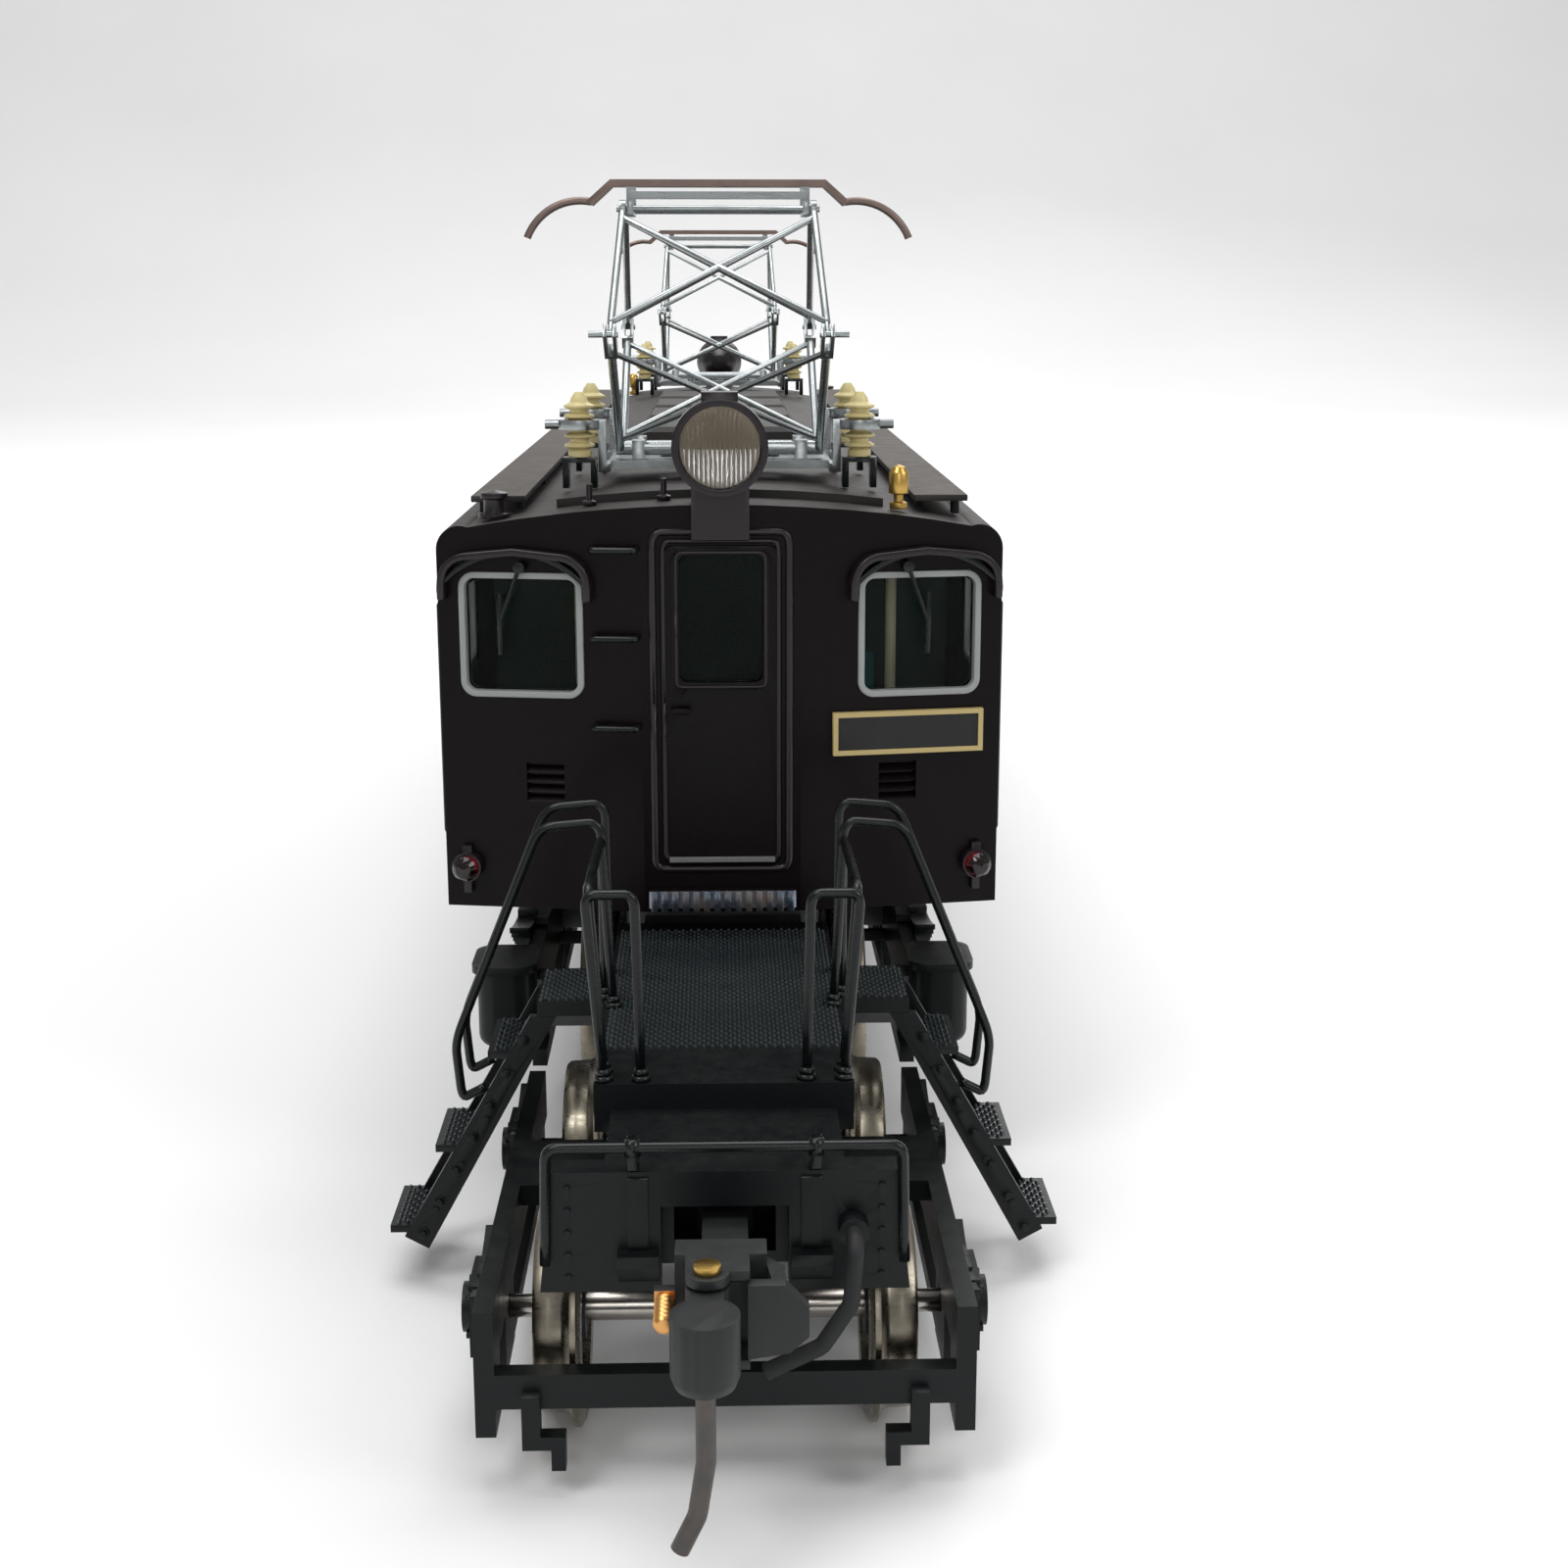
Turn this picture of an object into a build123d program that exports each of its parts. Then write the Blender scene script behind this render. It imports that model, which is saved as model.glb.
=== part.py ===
from build123d import *
import math
import os

# Model electric locomotive. Millimetres. Y runs along the locomotive, X across it, Z up.
# The origin is on the ground in the middle, under the wheel flanges.

# ---- body ----------------------------------------
BODY_LENGTH = 156.0
BODY_WIDTH = 35.0
BODY_BOTTOM = 19.2
BODY_WALL = 1.2
EAVE_HEIGHT = 41.9
ROOF_CENTRE = 44.8
ROOF_SHOULDER = 43.3
SHOULDER_INSET = 2.0
END_FLAT_HALF = 4.9
END_RAKE = 9.0
FLOOR_TOP = 20.6
FLOOR_GAP = 0.1

# ---- end windows, door and side windows ----------------------------------------
WINDOW_WIDTH = 7.8
WINDOW_HEIGHT = 7.8
WINDOW_SILL = 32.8
WINDOW_INSET = 3.6
WINDOW_CORNER = 1.0
FRAME_RIM = 0.4
FRAME_PROUD = 0.2
PANE_THICKNESS = 0.5
FIT_GAP = 0.03
DOOR_WIDTH = 7.4
DOOR_BOTTOM = 22.2
DOOR_TOP = 42.3
DOOR_WINDOW_WIDTH = 5.2
DOOR_WINDOW_SILL = 33.9
SIDE_WINDOW_COUNT = 6
SIDE_WINDOW_WIDTH = 5.4
SIDE_WINDOW_PITCH = 17.0
CAB_DOOR_INSET = 10.5
CAB_DOOR_WIDTH = 7.0
LOUVRE_X = 6.2
LOUVRE_Z = 27.4
LOUVRE_WIDTH = 2.4
LOUVRE_HEIGHT = 2.5
LOUVRE_SLATS = 4
TAIL_X = 11.3
TAIL_Z = 21.9
TAIL_RADIUS = 0.8

# ---- roof ----------------------------------------
HATCH_WIDTH = 20.5
HATCH_HEIGHT = 0.5
HATCH_INSET = 5.0
WALKWAY_INNER = 12.2
WALKWAY_OUTER = 15.6
WALKWAY_TOP = 44.9
PANTOGRAPH_INSET = 16.0
HEADLIGHT_RADIUS = 2.9
HEADLIGHT_HEIGHT = 48.3
LENS_RADIUS = 2.45

# ---- pantograph ----------------------------------------
ARM_LENGTH = 14.0
ARM_ANGLE = 33.6
PIVOT_SPREAD = 2.0
BASE_PIVOT_HEIGHT = 47.1
ARM_HALF_WIDTH = 6.6
TUBE_RADIUS = 0.28
UPPER_TUBE_RADIUS = 0.24
NECK_RADIUS = 0.16
NECK_LENGTH = 1.2
BRACE_RADIUS = 0.19
KNEE_PIN_RADIUS = 0.2
SHAFT_RADIUS = 0.35
RUNNING_GAP = 0.05
INSULATOR_X = 9.0
INSULATOR_Y = 6.6
INSULATOR_BASE = 47.0
INSULATOR_HEIGHT = 4.1
HEAD_FLAT_HALF = 7.05
HEAD_END_HALF = 8.6
HORN_HALF = 12.6
FORK_BACK = 1.9
EAR_SPREAD = 0.4
EAR_THICKNESS = 0.22

# ---- running gear ----------------------------------------
PIVOT_INSET = 40.0
BACK_TO_BACK = 14.4
DRIVER_RADIUS = 7.8
FLANGE_DEPTH = 0.7
DRIVER_SPACING = 24.5
DRIVER_WHEEL_WIDTH = 2.5
DRIVER_AXLE_RADIUS = 1.2
SPOKE_COUNT = 12
GUIDE_RADIUS = 5.38
GUIDE_WHEEL_WIDTH = 2.4
GUIDE_AXLE_RADIUS = 0.8
GUIDE_JOURNAL_RADIUS = 0.6
GUIDE_WHEELBASE = 21.0
GUIDE_OFFSET = 57.0
PLATE_INNER = 5.0
PLATE_THICKNESS = 1.4
GEAR_TEETH = 18
GEAR_TIP_RADIUS = 3.6
GEAR_WIDTH = 2.6
WORM_TIP_RADIUS = 2.1
WORM_LENGTH = 6.0
SHAFT_Z_RADIUS = 0.75
SIDE_FRAME_INNER = 12.2
SIDE_FRAME_THICKNESS = 1.0
GUIDE_FRAME_INNER = 11.2
GUIDE_FRAME_THICKNESS = 1.0
KINGPIN_RADIUS = 2.5
MOTOR_NEAR = 5.2
MOTOR_HALF_HEIGHT = 4.1
CROSS_ARM_HALF = 1.2
CROSS_ARM_SPAN = (10.2, 13.4)
GUIDE_TRANSOM_LOW = 8.4
GUIDE_TRANSOM_THICKNESS = 1.2

# ---- end deck and coupler ----------------------------------------
DECK_TOP = 17.5
DECK_THICKNESS = 0.9
DECK_HALF_WIDTH = 6.75
DECK_REACH = 25.7
DECK_TUCK = 3.2
WING_HALF_WIDTH = 10.75
WING_NEAR = 12.3
WING_FAR = 6.4
STEP_FOOT_X = 18.2
STEP_FOOT_Z = 2.6
STRINGER_WIDTH = 1.6
STRINGER_THICKNESS = 0.5
RAIL_RADIUS = 0.27
RAIL_TOP = 28.0
RAIL_OUT_X = 15.7
RAIL_OUT_Z = 13.4
BEAM_REACH = 34.0
BEAM_THICKNESS = 1.6
BEAM_TOP = 16.2
BEAM_BOTTOM = 10.0
BEAM_TOP_HALF = 8.35
BEAM_BOTTOM_HALF = 9.0
COUPLER_Z = 12.5
COUPLER_PIVOT_REACH = 30.0
COUPLER_REACH = 46.5
KNUCKLE_RADIUS = 1.55
KNUCKLE_HEIGHT = 3.6
COUPLER_RIVET_X = -0.8
GUARD_REACH = 3.75
GUARD_THICKNESS = 0.7
POCKET_HALF = 3.1

# ---- places worked out from the sizes above ----------------------------------------
BODY_HALF = BODY_LENGTH / 2
SIDE_X = BODY_WIDTH / 2
RAKE_RISE = math.tan(math.radians(END_RAKE))
TRUCK_Y = BODY_HALF - PIVOT_INSET
DRIVER_Z = DRIVER_RADIUS + FLANGE_DEPTH
GUIDE_Z = GUIDE_RADIUS + FLANGE_DEPTH
SHAFT_Z = DRIVER_Z + GEAR_TIP_RADIUS + WORM_TIP_RADIUS + 0.1
WHEEL_INNER = BACK_TO_BACK / 2
PLATE_OUTER = PLATE_INNER + PLATE_THICKNESS
GEARCASE_HALF = DRIVER_SPACING + 7.5
DECK_UNDER = DECK_TOP - DECK_THICKNESS
DECK_FRONT = -(PIVOT_INSET + DECK_REACH)
DECK_BACK = -(PIVOT_INSET - DECK_TUCK)
WING_FRONT = -(PIVOT_INSET + WING_NEAR)
WING_BACK = -(PIVOT_INSET + WING_FAR)
BEAM_FRONT = -(PIVOT_INSET + BEAM_REACH)
BEAM_REAR = BEAM_FRONT + BEAM_THICKNESS
COUPLER_PIVOT_Y = -(PIVOT_INSET + COUPLER_PIVOT_REACH)
COUPLER_FACE_Y = -(PIVOT_INSET + COUPLER_REACH)
KNUCKLE_PIVOT_Y = COUPLER_FACE_Y + 4.4
HATCH_TOP = ROOF_CENTRE + HATCH_HEIGHT
GEAR_BORE = DRIVER_AXLE_RADIUS + 0.02
MOTOR_FAR = DRIVER_SPACING - MOTOR_NEAR
MOTOR_HALF_WIDTH = PLATE_INNER - 0.1
END_ARM_Y = DRIVER_SPACING + DRIVER_RADIUS + FLANGE_DEPTH + 0.4 + CROSS_ARM_HALF
TOP_PIVOT_Z = BASE_PIVOT_HEIGHT + 2 * ARM_LENGTH * math.sin(math.radians(ARM_ANGLE))
PANTOGRAPH_Y = BODY_HALF - PANTOGRAPH_INSET
ENDS = (("front", 0), ("rear", 180))


# ---- small shared helpers ----------------------------------------
def block(x, y, z):
    """A box from its three (low, high) spans."""
    spans = (x, y, z)
    size = [span[1] - span[0] for span in spans]
    centre = [(span[0] + span[1]) / 2 for span in spans]
    return Pos(*centre) * Box(*size)


def rod(start, end, radius):
    """A round bar between two points."""
    start = Vector(*start)
    run = Vector(*end) - start
    return extrude(Plane(origin=start, z_dir=run) * Circle(radius), amount=run.length)


def tube(start, end, outer, inner):
    """A round bar with a bore right through it."""
    start = Vector(*start)
    run = Vector(*end) - start
    ring = Plane(origin=start, z_dir=run) * (Circle(outer) - Circle(inner))
    return extrude(ring, amount=run.length)


def cross_rod(x_span, y, z, radius):
    """A round bar across the locomotive."""
    return rod((x_span[0], y, z), (x_span[1], y, z), radius)


def post(x, y, z_span, radius):
    """An upright round bar."""
    return Pos(x, y, (z_span[0] + z_span[1]) / 2) * Cylinder(radius, z_span[1] - z_span[0])


def turned(outline):
    """A solid turned about the X axis from (along, radius) points."""
    return revolve(make_face(Polyline(*outline, close=True)), Axis.X, 360)


def turned_up(outline):
    """A solid turned about the Z axis from (radius, height) points."""
    return revolve(Plane.XZ * make_face(Polyline(*outline, close=True)), Axis.Z, 360)


def side_profile(points, x_span):
    """An outline in (y, z) made solid across an X span."""
    face = Plane.YZ * make_face(Polyline(*points, close=True))
    return Pos(x_span[0], 0, 0) * extrude(face, amount=x_span[1] - x_span[0])


def end_profile(points, y_span):
    """An outline in (x, z) made solid along a Y span."""
    face = Plane.XZ * make_face(Polyline(*points, close=True))
    return Pos(0, y_span[1], 0) * extrude(face, amount=y_span[1] - y_span[0])


def wire_form(points, bend, radius):
    """A bent round wire through the points, with the same radius at each corner."""
    path = FilletPolyline(*points, radius=bend)
    start = Plane(origin=path @ 0, z_dir=path % 0)
    return sweep(start * Circle(radius), path=path)


def both_sides(shape):
    """The shape and its mirror image across the locomotive's middle plane."""
    return [shape, mirror(shape, about=Plane.YZ)]


def both_ends(shapes):
    """The shapes at the front, and turned half round for the rear."""
    return list(shapes) + [Rot(0, 0, 180) * shape for shape in shapes]


def save(name, shapes):
    """Write one sub-part. It may hold several separate solids."""
    solids = []
    for shape in shapes:
        solids += shape.solids()
    whole = solids[0] if len(solids) == 1 else Compound(solids)
    export_step(whole, f"parts/{name}.step")


def save_at_end(name, shapes, end, turn):
    """Write a truck sub-part, drawn about the truck's own pivot, at its end of the locomotive."""
    placed = [Rot(0, 0, turn) * Pos(0, -TRUCK_Y, 0) * shape for shape in shapes]
    save(f"{end}_{name}", placed)


# ---- body shell ----------------------------------------
def body_block(inset, bottom, roof_drop):
    """The body as a solid block, drawn in by a wall thickness."""
    half = SIDE_X - inset
    eave = EAVE_HEIGHT - roof_drop / 2
    shoulder = half - SHOULDER_INSET
    top = ROOF_CENTRE - roof_drop
    shoulder_z = ROOF_SHOULDER - roof_drop
    corner = (half - 0.45, (eave + shoulder_z) / 2 + 0.35)
    outline = [
        Line((-half, bottom), (half, bottom)),
        Line((half, bottom), (half, eave)),
        ThreePointArc((half, eave), corner, (shoulder, shoulder_z)),
        ThreePointArc((shoulder, shoulder_z), (0, top), (-shoulder, shoulder_z)),
        ThreePointArc((-shoulder, shoulder_z), (-corner[0], corner[1]), (-half, eave)),
        Line((-half, eave), (-half, bottom)),
    ]
    end = BODY_HALF - inset
    section = extrude(Plane.XZ * make_face(Curve(outline)), amount=end, both=True)
    sweep_back = (half - END_FLAT_HALF) * RAKE_RISE
    plan = []
    for turn in (1, -1):
        plan += [
            (-turn * half, -turn * (end - sweep_back)),
            (-turn * END_FLAT_HALF, -turn * end),
            (turn * END_FLAT_HALF, -turn * end),
            (turn * half, -turn * (end - sweep_back)),
        ]
    footprint = extrude(make_face(Polyline(*plan, close=True)), amount=top + 1)
    return section & footprint


def on_right_end_face(shape):
    """Place a shape drawn with X outboard and -Y outward on the raked front face, right half."""
    return Pos(END_FLAT_HALF, -BODY_HALF, 0) * Rot(0, 0, END_RAKE) * shape


def rounded_slab(x_centre, z_centre, width, height, radius, y_span):
    """A slab in the XZ plane with rounded corners."""
    face = Plane.XZ * Pos(x_centre, z_centre) * RectangleRounded(width, height, radius)
    return Pos(0, y_span[1], 0) * extrude(face, amount=y_span[1] - y_span[0])


def end_window_slab(grow, y_span):
    """A slab of the end window's outline, grown all round."""
    centre_x = WINDOW_INSET + WINDOW_WIDTH / 2
    centre_z = WINDOW_SILL + WINDOW_HEIGHT / 2
    width = WINDOW_WIDTH + 2 * grow
    height = WINDOW_HEIGHT + 2 * grow
    slab = rounded_slab(centre_x, centre_z, width, height, WINDOW_CORNER + grow, y_span)
    return on_right_end_face(slab)


def side_window_slabs(grow, x_span):
    """Slabs of the side windows on the right side, cab windows included."""
    pitch_start = -(SIDE_WINDOW_COUNT - 1) / 2 * SIDE_WINDOW_PITCH
    places = [pitch_start + index * SIDE_WINDOW_PITCH for index in range(SIDE_WINDOW_COUNT)]
    places += [-(BODY_HALF - CAB_DOOR_INSET), BODY_HALF - CAB_DOOR_INSET]
    slabs = []
    for place in places:
        face = Plane.YZ * Pos(place, WINDOW_SILL + WINDOW_HEIGHT / 2) * RectangleRounded(
            SIDE_WINDOW_WIDTH + 2 * grow, WINDOW_HEIGHT - 1 + 2 * grow, WINDOW_CORNER + grow
        )
        slabs.append(Pos(x_span[0], 0, 0) * extrude(face, amount=x_span[1] - x_span[0]))
    return slabs


def door_hole(grow, y_span):
    """The end doorway, with rounded top corners."""
    width = DOOR_WIDTH + 2 * grow
    low = DOOR_BOTTOM - grow
    height = DOOR_TOP + grow - low
    return rounded_slab(0, low + height / 2, width, height, 0.9, y_span)


def make_body_shell():
    """The casing: a thin-walled box with an arched roof, open below, with its openings cut."""
    shell = body_block(0, BODY_BOTTOM, 0) - body_block(BODY_WALL, BODY_BOTTOM - 1, BODY_WALL)
    cut_depth = (-2 * BODY_WALL, BODY_WALL)
    window = end_window_slab(FIT_GAP, cut_depth)
    inward = end_window_slab(FIT_GAP, (-BODY_WALL, 2 * BODY_WALL))
    doorway = Pos(0, -BODY_HALF, 0) * door_hole(FIT_GAP, (-1, 0.7))
    door_light = Pos(0, -BODY_HALF, 0) * door_window(0.4, (-1, 2 * BODY_WALL))
    cuts = both_ends(both_sides(window + inward) + [doorway, door_light])
    for slab in side_window_slabs(FIT_GAP, (SIDE_X - 2 * BODY_WALL, SIDE_X + 1)):
        cuts += both_sides(slab)
    cuts += both_ends(both_sides(make_louvre_cut()))
    cuts += make_side_cuts()
    for cut in cuts:
        shell -= cut
    for rib in both_ends(both_sides(make_louvre_slats())):
        shell += rib
    return [shell]


def door_window(grow, y_span):
    """The end door's window outline."""
    height = DOOR_TOP - 0.5 - DOOR_WINDOW_SILL
    centre_z = DOOR_WINDOW_SILL + height / 2
    return rounded_slab(0, centre_z, DOOR_WINDOW_WIDTH + 2 * grow, height + 2 * grow, 0.6 + grow, y_span)


def make_louvre_cut():
    """The shallow recess behind an end louvre."""
    return on_right_end_face(
        block(
            (LOUVRE_X - LOUVRE_WIDTH / 2, LOUVRE_X + LOUVRE_WIDTH / 2),
            (-0.5, 0.45),
            (LOUVRE_Z - LOUVRE_HEIGHT / 2, LOUVRE_Z + LOUVRE_HEIGHT / 2),
        )
    )


def make_louvre_slats():
    """The slanted slats of an end louvre."""
    pitch = LOUVRE_HEIGHT / LOUVRE_SLATS
    low = LOUVRE_Z - LOUVRE_HEIGHT / 2
    slats = []
    for index in range(LOUVRE_SLATS):
        foot = low + index * pitch
        outline = [(0.5, foot), (0.0, foot), (0.5, foot + 0.75 * pitch)]
        slats.append(side_profile(outline, (LOUVRE_X - LOUVRE_WIDTH / 2, LOUVRE_X + LOUVRE_WIDTH / 2)))
    return on_right_end_face(Part() + slats)


def make_side_cuts():
    """Cab doors, side panel joints and side louvres, all shallow cuts in the side sheets."""
    depth = 0.25
    cuts = []
    for side in (1, -1):
        outer = side * (SIDE_X + 1)
        inner = side * (SIDE_X - depth)
        x_span = (min(outer, inner), max(outer, inner))
        for end in (1, -1):
            middle = end * (BODY_HALF - CAB_DOOR_INSET)
            for edge in (-CAB_DOOR_WIDTH / 2, CAB_DOOR_WIDTH / 2):
                cuts.append(
                    block(x_span, (middle + edge - 0.12, middle + edge + 0.12), (BODY_BOTTOM + 1.2, 40.9))
                )
            for height in (BODY_BOTTOM + 1.2, 40.9):
                cuts.append(
                    block(
                        x_span, (middle - CAB_DOOR_WIDTH / 2, middle + CAB_DOOR_WIDTH / 2),
                        (height, height + 0.24),
                    )
                )
        for index in range(SIDE_WINDOW_COUNT):
            place = (index - (SIDE_WINDOW_COUNT - 1) / 2) * SIDE_WINDOW_PITCH
            for row in range(6):
                low = 24.0 + row * 1.1
                cuts.append(block(x_span, (place - 4.5, place + 4.5), (low, low + 0.5)))
    return cuts


def make_window_frames():
    """Bright rims around the windows, standing a little proud of the sheet."""
    ends = end_window_slab(
        0, (-FRAME_PROUD, BODY_WALL - 0.1),
    ) - end_window_slab(-FRAME_RIM, (-1, 2 * BODY_WALL))
    rims = both_ends(both_sides(ends))
    outer = side_window_slabs(0, (SIDE_X - BODY_WALL + 0.1, SIDE_X + FRAME_PROUD / 2))
    inner = side_window_slabs(-FRAME_RIM, (SIDE_X - 2 * BODY_WALL, SIDE_X + 1))
    for slab, hole in zip(outer, inner):
        rims += both_sides(slab - hole)
    return rims


def make_window_panes():
    """Clear panes held in the rims, and the panes of the end doors."""
    middle = (0.3, 0.3 + PANE_THICKNESS)
    panes = both_ends(both_sides(end_window_slab(-FRAME_RIM - FIT_GAP, middle)))
    outer = SIDE_X - 0.3
    for slab in side_window_slabs(-FRAME_RIM - FIT_GAP, (outer - PANE_THICKNESS, outer)):
        panes += both_sides(slab)
    door_pane = Pos(0, -BODY_HALF, 0) * door_window(-FIT_GAP, (0.1, 0.1 + PANE_THICKNESS))
    return panes + both_ends([door_pane])


def make_end_doors():
    """The end doors: leaf, raised window surround, handle, kick strip and ribbed step."""
    leaf = door_hole(0, (0.05, 0.65)) - door_window(0, (-1, 1))
    surround = door_window(0.45, (-0.15, 0.05)) - door_window(0, (-1, 1))
    outline = door_hole(0, (-0.1, 0.05)) - door_hole(-0.3, (-1, 1))
    handle = block(
        (-3.1, -1.9), (-0.75, -0.4), (32.0, 32.35),
    ) + block((-3.1, -2.8), (-0.5, 0.05), (32.0, 32.35))
    kick = block((-3.3, 3.3), (-0.35, 0.05), (22.5, 22.85))
    tread_top = BODY_BOTTOM + 1.6
    step = block((-4.6, 4.6), (-1.0, 0), (BODY_BOTTOM + 0.5, tread_top))
    ribs = []
    count = 14
    for index in range(count):
        x = -4.6 + (index + 0.5) * 9.2 / count
        ribs.append(block((x - 0.19, x + 0.19), (-1.25, -0.9), (BODY_BOTTOM + 0.35, tread_top + 0.05)))
    door = leaf + [surround, outline, handle, kick]
    shapes = [door, step + ribs]
    return both_ends([Pos(0, -BODY_HALF, 0) * shape for shape in shapes])


# ---- trim on the body ----------------------------------------
def make_visor():
    """A curved rain strip over an end window, drawn on the right half."""
    left, right = WINDOW_INSET - 0.6, WINDOW_INSET + WINDOW_WIDTH + 1.2
    foot = WINDOW_SILL + WINDOW_HEIGHT - 0.9
    crown = foot + 2.35
    middle = (left + right) / 2
    outer = ThreePointArc((left, foot), (middle, crown), (right, foot))
    inner = ThreePointArc((left, foot - 0.35), (middle, crown - 0.35), (right, foot - 0.35))
    ends = [Line(outer @ 0, inner @ 0), Line(outer @ 1, inner @ 1)]
    face = Plane.XZ * make_face(Curve([outer, inner] + ends))
    return on_right_end_face(extrude(face, amount=0.75))


def make_wiper(arm_x):
    """A wiper: pivot boss, arm and blade, drawn on the right half."""
    top = WINDOW_SILL + WINDOW_HEIGHT + 0.35
    boss = rod((arm_x, 0, top), (arm_x, -0.75, top), 0.35)
    arm = rod((arm_x, -0.6, top), (arm_x + 1.3, -0.6, top - 3.4), 0.13)
    blade = rod((arm_x + 1.3, -0.55, top - 1.6), (arm_x + 1.3, -0.55, top - 5.4), 0.17)
    return on_right_end_face(boss + arm + blade)


def make_grab_irons():
    """Three rungs beside the door, each a bent wire with its feet on the sheet."""
    rungs = []
    stand = 0.85
    for height in (42.1, 36.7, 31.1):
        points = [(0.2, 0, height), (0.2, -stand, height), (2.9, -stand, height), (2.9, 0, height)]
        rungs.append(mirror(on_right_end_face(wire_form(points, 0.3, 0.2)), about=Plane.YZ))
    return rungs


def make_number_plate():
    """A blank plate with a raised border, with two rear bosses against the sheet."""
    x_span, z_span = (2.0, 11.6), (29.2, 31.9)
    plate = block(x_span, (-0.3, 0), z_span)
    rim = block(x_span, (-0.42, -0.3), z_span) - block((2.3, 11.3), (-1, 0), (29.5, 31.6))
    return on_right_end_face(plate + rim)


def make_side_rails():
    """Upright hand rails either side of each cab door."""
    rails = []
    for end in (1, -1):
        for edge in (-1, 1):
            y = end * (BODY_HALF - CAB_DOOR_INSET) + edge * (CAB_DOOR_WIDTH / 2 + 0.9)
            points = [
                (SIDE_X, y, 23.0),
                (SIDE_X + 0.45, y, 23.0),
                (SIDE_X + 0.45, y, 38.0),
                (SIDE_X, y, 38.0),
            ]
            rails += both_sides(wire_form(points, 0.2, 0.18))
    return rails


def make_body_trim():
    """Visors, wipers, grab irons, blank number plates and hand rails."""
    shapes = both_sides(make_visor())
    shapes += [mirror(make_wiper(7.4), about=Plane.YZ), make_wiper(6.6)]
    shapes += make_grab_irons() + [make_number_plate()]
    return both_ends(shapes) + make_side_rails()


def make_tail_lens():
    """A red domed tail lamp lens on the right half."""
    lens = turned([(0, 0), (0, TAIL_RADIUS), (0.4, TAIL_RADIUS), (0.75, 0.5), (0.85, 0)])
    return on_right_end_face(Pos(TAIL_X, -0.75, TAIL_Z) * Rot(0, 0, -90) * lens)


def make_lamp_housings():
    """Headlights on their blocks over the end doors, and the tail lamp bodies."""
    front = -(BODY_HALF + 1.6)
    back = front + 5.6
    barrel = turned([(0.35, 0), (0.35, LENS_RADIUS + 0.03), (0, LENS_RADIUS + 0.03), (0, HEADLIGHT_RADIUS),
                     (2.4, HEADLIGHT_RADIUS), (4.4, HEADLIGHT_RADIUS - 0.9), (5.6, 0.9), (5.6, 0)])
    barrel = Pos(0, front, HEADLIGHT_HEIGHT) * Rot(0, 0, 90) * barrel
    cap = block(
        (-1.1, 1.1), (front + 0.6, front + 2.4),
        (HEADLIGHT_HEIGHT, HEADLIGHT_HEIGHT + HEADLIGHT_RADIUS + 0.35),
    )
    roof_front = ROOF_CENTRE - 0.02
    saddle = block((-1.7, 1.7), (front + 1.9, back - 1.2), (roof_front, HEADLIGHT_HEIGHT - 1.5))
    lip = block((-1.75, 1.75), (front + 0.7, -BODY_HALF - 0.03), (42.75, HEADLIGHT_HEIGHT - 2))
    lip += block((-1.75, 1.75), (front + 0.7, front + 2.4), (ROOF_CENTRE + 0.03, HEADLIGHT_HEIGHT - 2))
    headlight = barrel + [cap, lip]
    headlight += saddle - block((-3, 3), (-BODY_HALF - 3, -BODY_HALF + 8), (40, ROOF_CENTRE + 0.03))
    holder = rod((TAIL_X, -0.03, TAIL_Z), (TAIL_X, -0.74, TAIL_Z), 0.95)
    holder += block((TAIL_X - 0.3, TAIL_X + 0.3), (-0.5, -0.03), (TAIL_Z, TAIL_Z + 1.35))
    holder += block((TAIL_X - 0.25, TAIL_X + 0.25), (-0.5, -0.03), (TAIL_Z - 1.7, TAIL_Z))
    return both_ends([headlight] + both_sides(on_right_end_face(holder)))


def make_headlight_lenses():
    """The headlights' domed glasses."""
    front = -(BODY_HALF + 1.6)
    glass = turned([(-0.35, 0), (-0.2, 1.6), (0.02, LENS_RADIUS), (0.33, LENS_RADIUS), (0.33, 0)])
    return both_ends([Pos(0, front, HEADLIGHT_HEIGHT) * Rot(0, 0, 90) * glass])


# ---- roof ----------------------------------------
def roof_height(x):
    """Height of the roof's outer face at a distance from the middle."""
    half = SIDE_X - SHOULDER_INSET
    drop = ROOF_CENTRE - ROOF_SHOULDER
    radius = (half * half + drop * drop) / (2 * drop)
    return ROOF_CENTRE - radius + math.sqrt(radius * radius - x * x)


def make_roof_walkways():
    """Planks along both roof edges on small brackets."""
    shapes = []
    reach = BODY_HALF - HATCH_INSET
    plank = block((WALKWAY_INNER, WALKWAY_OUTER), (-reach, reach), (WALKWAY_TOP - 0.4, WALKWAY_TOP))
    for index in range(9):
        y = -reach + 2.5 + index * (2 * reach - 5) / 8
        for x in (WALKWAY_INNER + 0.3, WALKWAY_OUTER - 0.8):
            low = roof_height(x + 0.5) + 0.15
            plank += block((x, x + 0.5), (y - 0.4, y + 0.4), (low, WALKWAY_TOP - 0.4))
    shapes += both_sides(plank)
    return shapes


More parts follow.
